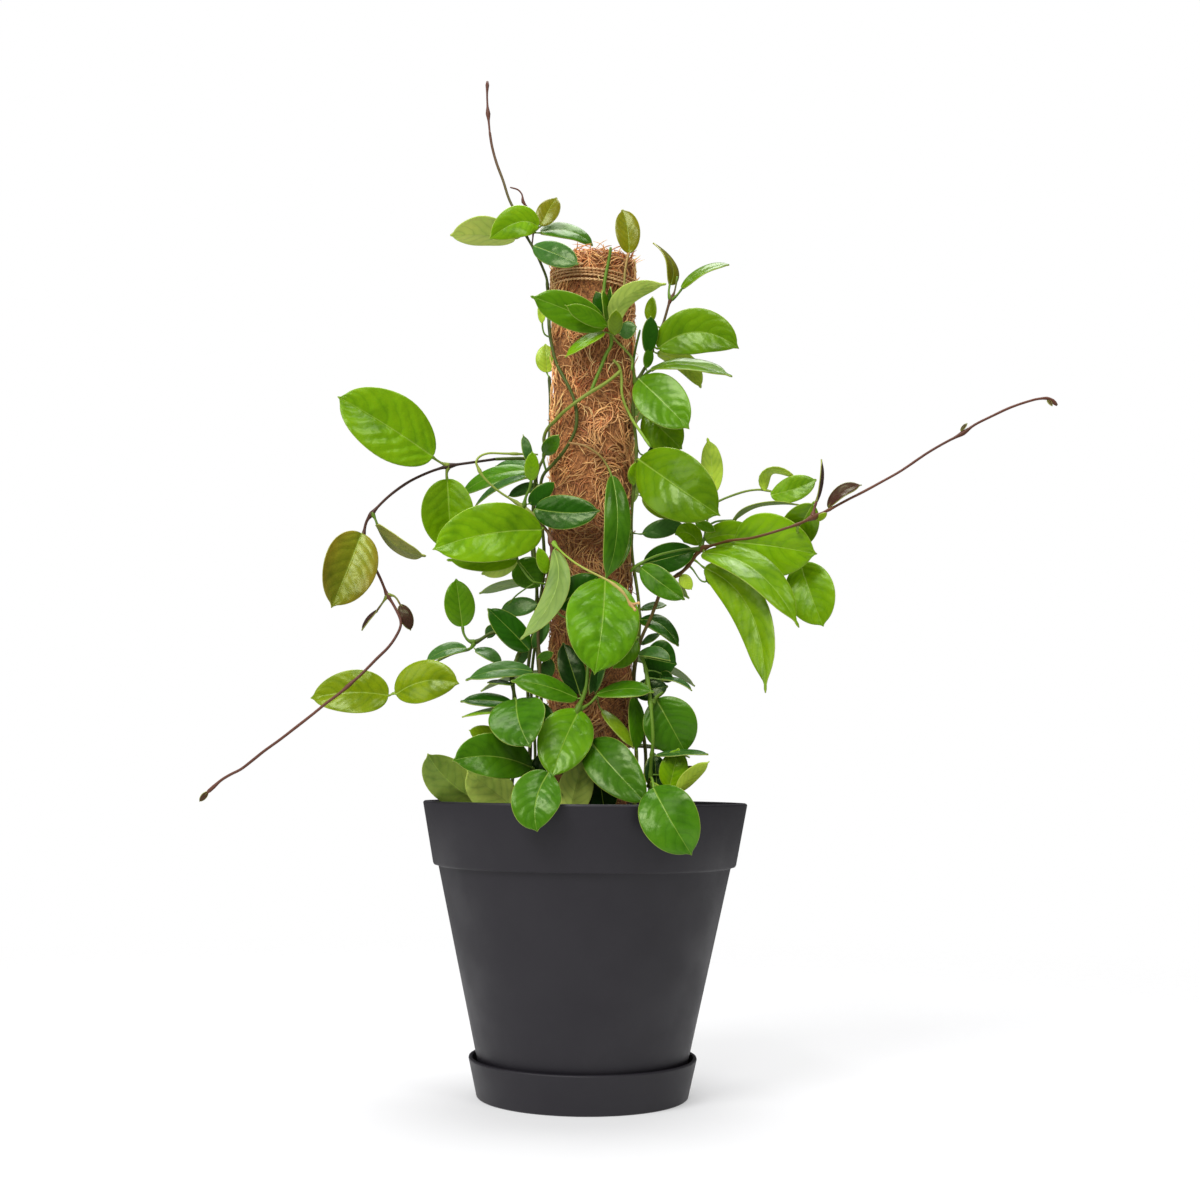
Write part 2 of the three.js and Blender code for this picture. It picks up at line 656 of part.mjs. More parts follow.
// Stays close on the left, with the loop and the flower stalk
const vineLeftMid = {
  stems: [
    {
      radius: 1.3,
      route: [
        [-34, 150, -38], [-33, 185, -42], [-33, 215, -42], [-32, 240, -40], [-31, 265, -38],
        [-30.5, 285, -37], [-28, 300, -36], [-25.8, 311.6, -35], [-23.4, 322.5, -34], [-22.4, 331, -34],
        [-22.2, 338, -33], [-21.5, 343, -33],
      ],
    },
    {
      radius: 1.1,
      route: [
        [-22, 341, -33], [-24.5, 348.5, -31], [-29, 353.5, -30], [-33.7, 359.6, -29], [-40, 364.2, -28],
      ],
    },
    {
      radius: 0.85,
      route: [
        [-39.5, 364, -28], [-46.6, 368.4, -28], [-53.3, 372.4, -29], [-60, 377.5, -30],
        [-65.8, 383.5, -31], [-68.3, 388, -31], [-69.8, 392, -31.5], [-67.6, 395.4, -31],
        [-62.7, 397.4, -30], [-52, 397.4, -28], [-40, 397.2, -25], [-31.5, 397, -23.5],
      ],
    },
    {
      radius: 1,
      route: [
        [-40, 363.5, -28], [-38.8, 370.5, -30], [-36.4, 376.3, -31], [-35.3, 382, -32],
      ],
    },
    {
      radius: 0.95,
      route: [
        [-21.5, 342, -33], [-19, 339.6, -36], [-14.4, 335.2, -46], [-7, 329.6, -56], [0.4, 325.4, -62],
        [7.9, 321.8, -67], [14.6, 318.2, -71], [20.6, 313.6, -73], [24, 309.6, -73], [26.4, 305.4, -72],
        [30, 303.8, -71],
      ],
    },
    {
      radius: 0.75,
      route: [
        [-24.7, 316.5, -34.5], [-31, 317.5, -38], [-34, 318.3, -39], [-39.8, 324.8, -39],
        [-43.2, 330.5, -38], [-44.4, 336, -36],
      ],
    },
    {
      radius: 0.6,
      route: [
        [-32, 317.7, -38], [-38, 314, -38], [-44.6, 309, -36], [-49, 303.5, -33],
      ],
    },
  ],
  leaves: [
    { from: [-29.5, 350, -33], over: [-62, 347.5, -52], to: [-94, 338.3, -58], wide: 35.5, tilt: 12 },
    { from: [-43.8, 332, -37], over: [-64, 331, -40], to: [-86, 331, -42], wide: 15, tilt: 20 },
    { from: [-43.5, 334, -34], to: [-65, 322.8, -36], wide: 14, tilt: 160 },
    { from: [-43, 331, -22], to: [-30, 315.5, -23], wide: 20, tilt: 0 },
    { from: [-21, 337.5, -36], over: [-19.8, 312, -47], to: [-39.8, 283.5, -54], wide: 15, tilt: 128 },
    { from: [-31, 304, -30], to: [-53, 300.5, -27], wide: 12, tilt: 20 },
    { from: [-32.5, 363.3, -30], over: [-13, 361, -39], to: [6, 362.3, -44], wide: 21, tilt: 10 },
    { from: [-36.5, 366.5, -29], to: [-21.5, 379.5, -31], wide: 10, tilt: 0 },
    { from: [-38, 383, -24], over: [-56, 377.5, -20], to: [-70, 364.5, -16], wide: 11, tilt: 68 },
    { from: [-35.5, 381, -32], to: [-35, 398.5, -37], wide: 9, tilt: 0 },
    { from: [-36.8, 391.5, -32], to: [-40.8, 408.8, -31], wide: 6.5, tilt: 20 },
    { from: [-23, 270.5, -34], to: [-25.5, 257, -33], wide: 9, tilt: 0 },
  ],
};

// Climbs the left side of the pole behind the others
const vineLeftBack = {
  stems: [
    {
      radius: 1.2,
      route: [
        [-33, 150, 9], [-32.5, 200, 7], [-32.5, 250, 6], [-32.5, 300, 6], [-33, 340, 7], [-33, 372, 7],
        [-33, 386, 4], [-31, 394, 2], [-30, 408, 3], [-29.6, 430, 6], [-28, 445, 12],
      ],
    },
  ],
  leaves: [
    { from: [-36, 386.5, -6], over: [-58, 383.6, -8], to: [-79.4, 371.2, -2], wide: 15, tilt: 52 },
    { from: [-34, 389, 0], to: [-57, 389.5, 8], wide: 12, tilt: 50 },
    { from: [-32, 377, -2], to: [-49, 371.3, 2], wide: 10, tilt: 45 },
    { from: [-26.5, 448, 16], to: [-27.5, 465, 16], wide: 13.5, tilt: 0 },
  ],
};

// Stands at the front, with the large glossy leaf
const vineFront = {
  stems: [
    {
      radius: 1.3,
      route: [
        [-14, 150, -42], [-14, 185, -46], [-12, 205, -48], [-8, 225, -51], [-4.4, 239, -53],
        [-1.6, 250, -47], [-1, 265, -40], [0, 280, -35], [4, 296, -33], [8, 310, -33], [10.8, 321, -36],
      ],
    },
    {
      radius: 0.9,
      route: [
        [-4.5, 239, -52], [1.9, 242.8, -49], [7.5, 248.8, -46],
      ],
    },
    {
      radius: 0.95,
      route: [
        [-14, 184, -46], [-16, 188.5, -66], [-19.5, 194, -84], [-23, 199.3, -95],
      ],
    },
  ],
  leaves: [
    { from: [10.8, 319.5, -37], over: [9.3, 293, -56], to: [5.3, 263, -62], wide: 44, tilt: 4 },
    { from: [-4.5, 238, -53], over: [-13.3, 219.5, -67], to: [-20.5, 198.3, -76], wide: 31.5, tilt: 5 },
    { from: [-6, 246, -49], over: [-26, 253.5, -57], to: [-45.5, 256.3, -62], wide: 16, tilt: 35 },
    { from: [6.8, 248.5, -46], over: [24, 252, -52], to: [41, 250.6, -56], wide: 14, tilt: 52 },
    { from: [-4, 249, -35], to: [-14.5, 279.5, -31], wide: 16, tilt: 0 },
    { from: [-18, 303, -34], to: [6, 321.5, -31], wide: 20, tilt: 0 },
    { from: [5.5, 266, -34], to: [2, 249, -38], wide: 7, tilt: 45 },
    { from: [10, 238.5, -36], to: [29, 216, -46], wide: 10, tilt: 40 },
    { from: [3.5, 219, -58], over: [17.5, 202.5, -74], to: [36.5, 182.8, -82], wide: 28, tilt: 5 },
    { from: [-23, 199.5, -95], over: [-30.5, 182.5, -104], to: [-29.8, 164.5, -108], wide: 28, tilt: 0 },
    { from: [-10, 173, -56], to: [-1.5, 208, -58], wide: 21, tilt: 165 },
    { from: [12, 176, -48], to: [8, 202, -52], wide: 19, tilt: 0 },
  ],
};

// Spreads low on the left over the pot
const vineLowLeft = {
  stems: [
    {
      radius: 1.3,
      route: [
        [-46, 150, -22], [-45, 190, -26], [-45, 220, -34], [-44.6, 238, -42], [-44.6, 250, -46],
        [-45, 257, -47], [-43.5, 266, -43], [-40, 276, -37], [-44, 283, -31], [-52, 287, -28],
        [-60, 285.8, -29], [-66, 282, -31], [-69.7, 280, -32],
      ],
    },
    {
      radius: 0.9,
      route: [
        [-69, 280.2, -32], [-73.5, 281.3, -32], [-76.4, 285.5, -32], [-77.3, 291, -32],
      ],
    },
    {
      radius: 0.9,
      route: [
        [-69.7, 280, -32], [-72, 276.5, -31], [-84, 272.5, -26], [-98, 265, -25], [-110, 255, -27],
        [-119.5, 248, -31],
      ],
    },
  ],
  leaves: [
    { from: [-122.8, 246.6, -31], over: [-145, 248.2, -34], to: [-169.3, 244.8, -31], wide: 27.5, tilt: 15 },
    { from: [-117.6, 247.6, -33], over: [-100, 255.8, -42], to: [-80.3, 254.8, -46], wide: 26, tilt: 15 },
    { from: [-74.8, 276, -33], over: [-86.5, 275, -36], to: [-98.8, 268.5, -38], wide: 13, tilt: 52 },
    { from: [-68.6, 275.6, -33], over: [-61, 273, -36], to: [-53.4, 266.8, -38], wide: 12, tilt: 55 },
    { from: [-77.3, 290, -32], to: [-81.4, 318.5, -35], wide: 18.5, tilt: 0 },
    { from: [-36, 276, -41], to: [-61, 300.4, -52], wide: 17.5, tilt: 15 },
    { from: [-34, 262, -46], over: [-52, 263.2, -50], to: [-73.7, 257, -52], wide: 15, tilt: 50 },
    { from: [-45.5, 242, -46], over: [-61, 244, -50], to: [-77, 243.4, -52], wide: 13, tilt: 50 },
    { from: [-48, 238.5, -45], to: [-76, 234, -53], wide: 10, tilt: 62 },
    { from: [-43.3, 244, -52], over: [-41.5, 231, -70], to: [-35, 216.5, -80], wide: 34, tilt: 0 },
    { from: [-36, 241, -44], to: [-20, 230.5, -50], wide: 14, tilt: 0 },
    { from: [-54, 221, -42], to: [-72, 225.5, -48], wide: 11, tilt: 0 },
    { from: [-34, 203, -56], over: [-57, 209.5, -70], to: [-81, 207, -78], wide: 27, tilt: 12 },
    { from: [-64, 181.5, -36], over: [-84, 193.5, -42], to: [-97.3, 209.6, -48], wide: 26, tilt: 155 },
    { from: [-43, 177, -48], to: [-72.5, 200, -60], wide: 26, tilt: 160 },
    { from: [-31, 197, -50], to: [-26, 212, -54], wide: 10, tilt: 0 },
  ],
};

// Stands low on the right, with the leaf that hangs over the rim
const vineLowRight = {
  stems: [
    {
      radius: 1.3,
      route: [
        [40, 150, -42], [39, 190, -46], [38.4, 201, -48], [38.8, 209.6, -51], [40.6, 220.5, -54],
        [41.2, 235, -54], [40.9, 244, -52], [40.2, 251, -48], [38.5, 259, -44], [36, 268, -41],
        [33, 274.5, -39],
      ],
    },
    {
      radius: 0.9,
      route: [
        [40.9, 243.5, -52], [43.5, 247.5, -49], [47.5, 250.5, -46],
      ],
    },
    {
      radius: 0.95,
      route: [
        [38.9, 192, -46], [40, 197, -66], [41.5, 196, -84], [42.5, 190.5, -91],
      ],
    },
  ],
  leaves: [
    { from: [36, 272, -32], to: [55.3, 268, -34], wide: 25, tilt: 0 },
    { from: [32.5, 274, -43], over: [42, 275, -49], to: [51.3, 270.3, -54], wide: 10, tilt: 42 },
    { from: [47, 258.3, -40], over: [57, 257, -42], to: [65, 251.9, -44], wide: 8, tilt: 68 },
    { from: [30, 250, -38], to: [50, 254, -41], wide: 14, tilt: 10 },
    { from: [43.5, 246, -46], to: [61.5, 214, -46], wide: 32, tilt: 0 },
    { from: [29, 247, -38], to: [31, 214, -42], wide: 12, tilt: 38 },
    { from: [42.5, 190.5, -91], over: [52.3, 172.5, -103], to: [65.5, 151, -103], wide: 32.5, tilt: 0 },
    { from: [52, 191, -52], to: [57.5, 215, -52], wide: 17, tilt: 0 },
    { from: [44, 211, -52], over: [60, 213, -55], to: [75, 212.2, -58], wide: 14, tilt: 73 },
    { from: [57, 189, -58], to: [76, 207.3, -62], wide: 11, tilt: 140 },
    { from: [44.5, 190, -46], to: [42.5, 212, -44], wide: 14, tilt: 0 },
  ],
};

// Stands behind the right side, short
const vineRightMid = {
  stems: [
    {
      radius: 1.2,
      route: [
        [30, 150, 22], [30, 200, 20], [30, 250, 14], [30.5, 275, 6], [31.5, 290, 3], [32.5, 300, 2],
      ],
    },
  ],
  leaves: [
    { from: [33, 294.5, -4], over: [45, 292.5, -10], to: [56.3, 279.8, -14], wide: 14, tilt: 40 },
    { from: [34, 280, 4], to: [45, 286.3, 2], wide: 9, tilt: 62 },
    { from: [33.5, 301.5, 0], to: [48.6, 304.3, 0], wide: 9, tilt: 62 },
  ],
};

const frontVines = {
  vine_crown: vineCrown,
  vine_twist: vineTwist,
  vine_right_high: vineRightHigh,
  vine_right_reach: vineRightReach,
  vine_left_arch: vineLeftArch,
  vine_left_mid: vineLeftMid,
  vine_left_back: vineLeftBack,
  vine_front: vineFront,
  vine_low_left: vineLowLeft,
  vine_low_right: vineLowRight,
  vine_right_mid: vineRightMid,
};

// The vines behind the pole, which the photograph hardly shows, climb it by a rule
const backVines = {
  vine_back_left: { bearing: 125, low: 205, top: 330, seed: 11 },
  vine_back_right: { bearing: 62, low: 222, top: 456, seed: 37 },
};
const backRoot = 38;
const backStemRadius = 1.3;
const backHug = 29.4;
const nodeSpacing = 58;
const openSpread = 50;
const tuckedSpread = 16;
const tuckedFrom = 350;

function aroundPole(bearing, reach, height) {
  const angle = THREE.MathUtils.degToRad(bearing);
  return new THREE.Vector3(poleX + reach * Math.cos(angle), reach * Math.sin(angle), height);
}

function climbedVine({ bearing, low, top, seed }) {
  const draw = seededDraws(seed);
  const points = [aroundPole(bearing, backRoot, soilTop - 14)];
  points.push(aroundPole(bearing, backRoot - 3, soilTop + 12));
  const leaves = [];
  for (let height = low; height <= top; height += nodeSpacing) {
    const sway = bearing + (draw() - 0.5) * 9;
    const node = aroundPole(sway, backHug, height);
    points.push(node);
    const spread = height < tuckedFrom ? openSpread : tuckedSpread;
    for (const hand of [-1, 1]) {
      const aim = THREE.MathUtils.degToRad(sway + hand * spread * (0.8 + 0.4 * draw()));
      const long = 38 + 16 * draw();
      const drop = -0.15 - 0.35 * draw();
      const run = new THREE.Vector3(Math.cos(aim), Math.sin(aim), drop).normalize();
      const base = node.clone().addScaledVector(run, 9).addScaledVector(up, 3 * hand);
      const tip = base.clone().addScaledVector(run, long);
      const face = crosswise(new THREE.Vector3(Math.cos(aim) * 0.5, Math.sin(aim) * 0.5, 1), run).normalize();
      const bend = base.clone().add(tip).multiplyScalar(0.5).addScaledVector(face, archRatio * long);
      leaves.push({ spine: new THREE.QuadraticBezierCurve3(base, bend, tip), wide: long * 0.55, face });
    }
  }
  points.push(aroundPole(bearing, backHug, top + 12));
  return { stems: [{ radius: backStemRadius, points }], leaves };
}

// The pot
const potFloorLow = saucerWall + restGap;
const potFloorTop = potFloorLow + potWall;
const drainRadius = 5;
const drainRing = 38;
const drainCount = 4;
const lipRound = 1.2;

function potSolid() {
  const body = turned([
    [0, potFloorLow],
    [footRadius - 1.2, potFloorLow],
    [footRadius, potFloorLow + 1.5],
    [shoulderRadius, bandBottom - 2.2],
    [shoulderRadius + 0.6, bandBottom - 0.6],
    [bandFootRadius, bandBottom],
    [rimRadius, rimTop - lipRound],
    [rimRadius - lipRound * 0.5, rimTop],
    [rimRadius - potWall + lipRound * 0.4, rimTop],
    [rimRadius - potWall, rimTop - lipRound],
    [bandFootRadius - potWall, bandBottom + 1],
    [shoulderRadius - potWall, bandBottom - 3],
    [footRadius - potWall, potFloorTop + 1.5],
    [footRadius - potWall - 1.5, potFloorTop],
    [0, potFloorTop],
  ]);
  let pot = solidFrom(body);
  for (let index = 0; index < drainCount; index += 1) {
    const turn = (2 * Math.PI * (index + 0.5)) / drainCount;
    const hole = new THREE.CylinderGeometry(drainRadius, drainRadius, 4 * potWall, 10).rotateX(Math.PI / 2);
    hole.translate(drainRing * Math.cos(turn), drainRing * Math.sin(turn), potFloorLow);
    pot = pot.subtract(solidFrom(hole));
  }
  return pot;
}

// The saucer under it
function saucerSolid() {
  return solidFrom(
    turned([
      [0, 0],
      [saucerFootRadius, 0],
      [saucerRimRadius, saucerHeight - 0.8],
      [saucerRimRadius - 0.9, saucerHeight],
      [saucerRimRadius - saucerWall + 0.3, saucerHeight],
      [saucerRimRadius - saucerWall, saucerHeight - 0.8],
      [saucerFootRadius - saucerWall + 0.6, saucerWall + 1.2],
      [saucerFootRadius - saucerWall - 0.8, saucerWall],
      [0, saucerWall],
    ]),
  );
}

// The soil, with a bore for the pole and a plain hole for each stem
const soilInset = 0.8;
const soilTurns = 28;
const crumbRings = [76, 57, 41];

function crumb(x, y) {
  const lumps = Math.sin(x * 0.31 + 1.7 * Math.sin(y * 0.17)) * Math.cos(y * 0.27 + 0.6);
  return 0.9 * lumps + 0.5 * Math.sin(0.13 * x - 0.21 * y);
}

function soilSolid(rootStems) {
  const bodyInner = (height) =>
    THREE.MathUtils.mapLinear(
      height,
      potFloorTop + 1.5,
      bandBottom - 3,
      footRadius - potWall,
      shoulderRadius - potWall,
    );
  const bandInner = THREE.MathUtils.mapLinear(
    soilTop,
    bandBottom + 1,
    rimTop - lipRound,
    bandFootRadius - potWall,
    rimRadius - potWall,
  );
  const outline = [
    [0, potFloorTop + restGap],
    [bodyInner(potFloorTop + 4) - 2.5, potFloorTop + restGap],
    [bodyInner(potFloorTop + 6) - soilInset, potFloorTop + 6],
    [bodyInner(bandBottom - 5) - soilInset, bandBottom - 5],
    [bodyInner(bandBottom - 3) - soilInset, bandBottom + 1],
    [bandInner - soilInset, soilTop - 1],
  ];
  outline.push(...crumbRings.map((radius) => [radius, soilTop]), [0, soilTop]);
  const geometry = turned(outline, soilTurns);
  const position = geometry.attributes.position;
  for (let index = 0; index < position.count; index += 1) {
    if (position.getZ(index) > soilTop - 0.1) {
      position.setZ(index, soilTop + crumb(position.getX(index), position.getY(index)));
    }
  }
  let soil = solidFrom(geometry);
  const bores = [
    { radius: sleeveReach + 0.5, low: sleeveBottom - restGap },
    { radius: stakeRadius + restGap, low: stakeBottom - restGap },
  ];
  for (const { radius, low } of bores) {
    const tall = soilTop + 20 - low;
    const bore = new THREE.CylinderGeometry(radius, radius, tall, 24).rotateX(Math.PI / 2);
    soil = soil.subtract(solidFrom(bore.translate(poleX, 0, low + tall / 2)));
  }
  for (const { points, radius } of rootStems) {
    const stem = new StemRoute(points, false, "centripetal");
    const buried = stem.getPoints(points.length * 16).filter((point) => point.z < soilTop + 13);
    const foot = buried[0].clone().sub(buried[1]).normalize();
    const low = buried[0].clone().addScaledVector(foot, restGap);
    const route = [low, buried[Math.floor(buried.length / 2)], buried[buried.length - 1]];
    const path = new THREE.CatmullRomCurve3(route);
    const section = polygon(radius + holeClearance, 6);
    const hole = new THREE.ExtrudeGeometry(section, { steps: 2, extrudePath: path });
    soil = soil.subtract(solidFrom(hole));
  }
  return soil;
}

// The pole: a stake, the coir sleeve round it, and the twine that binds the sleeve
const poleTurns = 20;
const sleeveRows = 19;

function stakeSolid() {
  const tall = poleTop - 3 - stakeBottom;
  const stake = new THREE.CylinderGeometry(stakeRadius, stakeRadius, tall, 20).rotateX(Math.PI / 2);
  return solidFrom(stake.translate(poleX, 0, stakeBottom + tall / 2));
}

function sleeveSolid() {
  const bore = stakeRadius + restGap + 0.2;
  const outline = [[bore, sleeveBottom]];
  for (let row = 0; row <= sleeveRows; row += 1) {
    outline.push([sleeveRadius, THREE.MathUtils.lerp(sleeveBottom, poleTop, row / sleeveRows)]);
  }
  outline.push([bore, poleTop], [bore, sleeveBottom]);
  const geometry = turned(outline, poleTurns);
  const position = geometry.attributes.position;
  for (let index = 0; index < position.count; index += 1) {
    const x = position.getX(index);
    const y = position.getY(index);
    const z = position.getZ(index);
    const turn = Math.atan2(y, x);
    if (Math.hypot(x, y) > bore + 1) {
      const bump = sleeveRelief * (Math.sin(5 * turn + z * 0.11) + Math.sin(8 * turn - z * 0.19 + 1.3));
      position.setX(index, x + bump * Math.cos(turn));
      position.setY(index, y + bump * Math.sin(turn));
    }
  }
  return solidFrom(geometry.translate(poleX, 0, 0));
}

function twineSolid() {
  const inner = sleeveReach + restGap;
  const outline = [[inner, twineLow]];
  for (let turn = 0; turn < twineTurns; turn += 1) {
    const low = twineLow + turn * 2 * twineRadius;
    outline.push([inner + 1.1 * twineRadius, low + 0.1], [inner + 1.8 * twineRadius, low + twineRadius]);
  }
  outline.push([inner, twineLow + twineTurns * 2 * twineRadius], [inner, twineLow]);
  return solidFrom(turned(outline, poleTurns).translate(poleX, 0, 0));
}

// Materials
function matte(colour, roughness = 0.8) {
  return new THREE.MeshStandardMaterial({ color: colour, roughness, metalness: 0 });
}

function greens(index) {
  const palette = ["#5f9a35", "#4f8a33", "#6aa53d", "#3f7530"];
  return matte(palette[index % palette.length], 0.35);
}

// The whole plant
const plant = new THREE.Group();

function addPiece(name, solid, material) {
  const mesh = new THREE.Mesh(geometryFrom(solid), material);
  mesh.name = name;
  plant.add(mesh);
}

const grown = {};
for (const [name, vine] of Object.entries(frontVines)) {
  grown[name] = seenVine(vine);
}
for (const [name, vine] of Object.entries(backVines)) {
  grown[name] = climbedVine(vine);
}
const rootStems = Object.values(grown).map((vine) => vine.stems[0]);

addPiece("saucer", saucerSolid(), matte("#353336", 0.6));
addPiece("pot", potSolid(), matte("#3a383b", 0.6));
addPiece("soil", soilSolid(rootStems), matte("#3b2a1f", 0.95));
addPiece("pole_stake", stakeSolid(), matte("#8b6a48", 0.8));
addPiece("coir_sleeve", sleeveSolid(), matte("#8c5f45", 0.95));
addPiece("twine_wrap", twineSolid(), matte("#a58a5e", 0.9));
Object.entries(grown).forEach(([name, vine], index) => addPiece(name, grownVine(vine), greens(index)));

export default plant;
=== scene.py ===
import math
from contextlib import contextmanager

import bpy
import numpy as np
from mathutils import Euler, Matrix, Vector, noise


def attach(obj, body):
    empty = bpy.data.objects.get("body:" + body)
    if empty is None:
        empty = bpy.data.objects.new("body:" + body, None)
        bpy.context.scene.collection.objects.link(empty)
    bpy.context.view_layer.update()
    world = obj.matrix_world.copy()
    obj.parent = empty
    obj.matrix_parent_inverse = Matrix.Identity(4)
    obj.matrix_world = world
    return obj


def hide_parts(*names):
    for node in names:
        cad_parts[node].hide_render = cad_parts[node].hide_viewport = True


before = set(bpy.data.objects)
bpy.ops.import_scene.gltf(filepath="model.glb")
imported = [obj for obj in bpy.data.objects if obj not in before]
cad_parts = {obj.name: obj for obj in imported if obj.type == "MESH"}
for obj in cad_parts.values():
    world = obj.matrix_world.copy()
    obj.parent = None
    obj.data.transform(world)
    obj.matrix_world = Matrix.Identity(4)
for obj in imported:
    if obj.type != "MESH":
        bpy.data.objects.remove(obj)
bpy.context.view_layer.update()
scene = bpy.context.scene
mm = 0.001
anyTurn = (0, 6.3)       # where a draw takes any turn or phase
print("frame loaded:", len(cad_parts), "nodes")

# Camera, level like the photograph's, with a little shift so that the pot's sides stay upright
cameraSettings = {
    "place": (0, -1.021, 0.1968),
    "lens": 49.4,
    "sensor": 36,
    "roll": 0.585,
    "shift": (0.0121, 0.1483),
}


def addCamera():
    turn = (math.radians(90), math.radians(-cameraSettings["roll"]), 0)
    bpy.ops.object.camera_add(location=cameraSettings["place"], rotation=turn)
    camera = bpy.context.object
    camera.data.lens = cameraSettings["lens"]
    camera.data.sensor_width = cameraSettings["sensor"]
    camera.data.shift_x, camera.data.shift_y = cameraSettings["shift"]
    scene.camera = camera


addCamera()
print("camera set")


# Helpers for shader nodes: most add their node to the tree of the first socket that they are given
def fill(node, inputs):
    for key, value in inputs.items():
        if isinstance(value, bpy.types.NodeSocket):
            node.id_data.links.new(value, node.inputs[key])
        else:
            node.inputs[key].default_value = value


def addNode(tree, kind, inputs=(), **settings):
    made = tree.nodes.new("ShaderNode" + kind)
    for key, value in settings.items():
        setattr(made, key, value)
    fill(made, dict(inputs))
    return made


def treeOf(*values):
    return next(value.id_data for value in values if isinstance(value, bpy.types.NodeSocket))


def calc(operation, *values):
    return addNode(treeOf(*values), "Math", enumerate(values), operation=operation).outputs[0]


# 0 below low, 1 above high, smooth between them
def ramped(value, low, high, outLow=0.0, outHigh=1.0):
    inputs = {"Value": value, "From Min": low, "From Max": high, "To Min": outLow, "To Max": outHigh}
    return addNode(value.id_data, "MapRange", inputs, interpolation_type="SMOOTHSTEP").outputs[0]


# Sockets 6 and 7 of the mix node are its colours, and its output 2 is the mixed one
def blended(share, first, second, kind="MIX"):
    tones = [(*tone, 1) if isinstance(tone, tuple) else tone for tone in (first, second)]
    inputs = {0: share, 6: tones[0], 7: tones[1]}
    return addNode(treeOf(share, *tones), "Mix", inputs, data_type="RGBA", blend_type=kind).outputs[2]


def grain(place, scale, detail=3.0, roughness=0.55):
    inputs = {"Vector": place, "Scale": scale, "Detail": detail, "Roughness": roughness}
    return addNode(place.id_data, "TexNoise", inputs).outputs["Fac"]


def attributeOf(skin, name, output="Color"):
    return addNode(skin.node_tree, "Attribute", attribute_name=name).outputs[output]


def bumped(height, strength, distance):
    inputs = {"Height": height, "Strength": strength, "Distance": distance}
    return addNode(height.id_data, "Bump", inputs).outputs["Normal"]


def newSkin(name):
    skin = bpy.data.materials.new(name)
    skin.use_nodes = True
    return skin, addNode(skin.node_tree, "TexCoord").outputs["Object"]


def dressed(skin, inputs):
    fill(skin.node_tree.nodes["Principled BSDF"], inputs)
    return skin


def fromHex(code):
    parts = [int(code[i:i + 2], 16) / 255 for i in (1, 3, 5)]
    return np.array([c / 12.92 if c <= 0.04045 else ((c + 0.055) / 1.055) ** 2.4 for c in parts])


# Studio: a white surround that lights the plant softly and is hardly mirrored in it, as in the photograph
studioSettings = {
    "surround": 1.0,
    "ambient": 0.38,
    "mirrored": 0.12,
    "floorGlow": 0.35,
    "floorTone": (0.44, 0.44, 0.445),
    "lamps": (
        {"name": "keyLamp", "place": (-1.15, -1.75, 2.25), "aim": (0, 0, 0.25), "size": 1.2, "watts": 56},
        {"name": "frontLamp", "place": (-0.35, -2, 1.35), "aim": (0, 0, 0.3), "size": 0.6, "watts": 11},
        {"name": "rightLamp", "place": (1.25, -1.85, 2.3), "aim": (0, 0, 0.3), "size": 0.8, "watts": 15},
        {"name": "sideLamp", "place": (-1.9, -1.1, 0.9), "aim": (0, 0, 0.2), "size": 1.2, "watts": 9},
        {"name": "topLamp", "place": (0.1, 0.5, 2.3), "aim": (0, 0, 0.2), "size": 1.6, "watts": 46},
    ),
}


def addStudio():
    scene.view_settings.view_transform = "Standard"
    world = bpy.data.worlds.new("studioSurround")
    world.use_nodes = True
    tree = world.node_tree
    sight = addNode(tree, "LightPath").outputs
    ambient, mirrored = studioSettings["ambient"], studioSettings["mirrored"]
    unseen = {"Value": sight["Is Glossy Ray"], "To Min": ambient, "To Max": mirrored}
    unseen = addNode(tree, "MapRange", unseen).outputs[0]
    level = {"Value": sight["Is Camera Ray"], "To Min": unseen, "To Max": studioSettings["surround"]}
    level = addNode(tree, "MapRange", level).outputs[0]
    fill(tree.nodes["Background"], {"Color": (1, 1, 1, 1), "Strength": level})
    scene.world = world
    for lamp in studioSettings["lamps"]:
        place = Vector(lamp["place"])
        aim = (Vector(lamp["aim"]) - place).to_track_quat("-Z", "Y").to_euler()
        bpy.ops.object.light_add(type="AREA", location=place, rotation=aim)
        light = bpy.context.object
        light.name = lamp["name"]
        light.data.shape = "DISK"
        light.data.size = lamp["size"]
        light.data.energy = lamp["watts"]


addStudio()
print("studio lit")


# Helpers for meshes
def deselectAll():
    for thing in bpy.context.selected_objects:
        thing.select_set(False)


def pick(thing):
    deselectAll()
    thing.select_set(True)
    bpy.context.view_layer.objects.active = thing


@contextmanager
def editing():
    bpy.ops.object.mode_set(mode="EDIT")
    bpy.ops.mesh.select_all(action="SELECT")
    yield
    bpy.ops.object.mode_set(mode="OBJECT")


def faceOutward():
    bpy.ops.mesh.select_all(action="SELECT")
    bpy.ops.mesh.normals_make_consistent(inside=False)


def applyModifier(piece, kind, **settings):
    pick(piece)
    bpy.ops.object.modifier_add(type=kind)
    modifier = piece.modifiers[-1]
    for key, value in settings.items():
        setattr(modifier, key, value)
    bpy.ops.object.modifier_apply(modifier=modifier.name)


# Bores an upright round hole about a place, in millimetres
def bore(piece, place, radius, depth, sides):
    bpy.ops.mesh.primitive_cylinder_add(
        vertices=sides, radius=radius * mm, depth=depth * mm, location=Vector(place) * mm
    )
    drill = bpy.context.object
    applyModifier(piece, "BOOLEAN", object=drill, operation="DIFFERENCE", solver="EXACT")
    bpy.data.objects.remove(drill)


def pointsOf(mesh):
    flat = np.empty(len(mesh.vertices) * 3)
    mesh.vertices.foreach_get("co", flat)
    return flat.reshape(-1, 3)


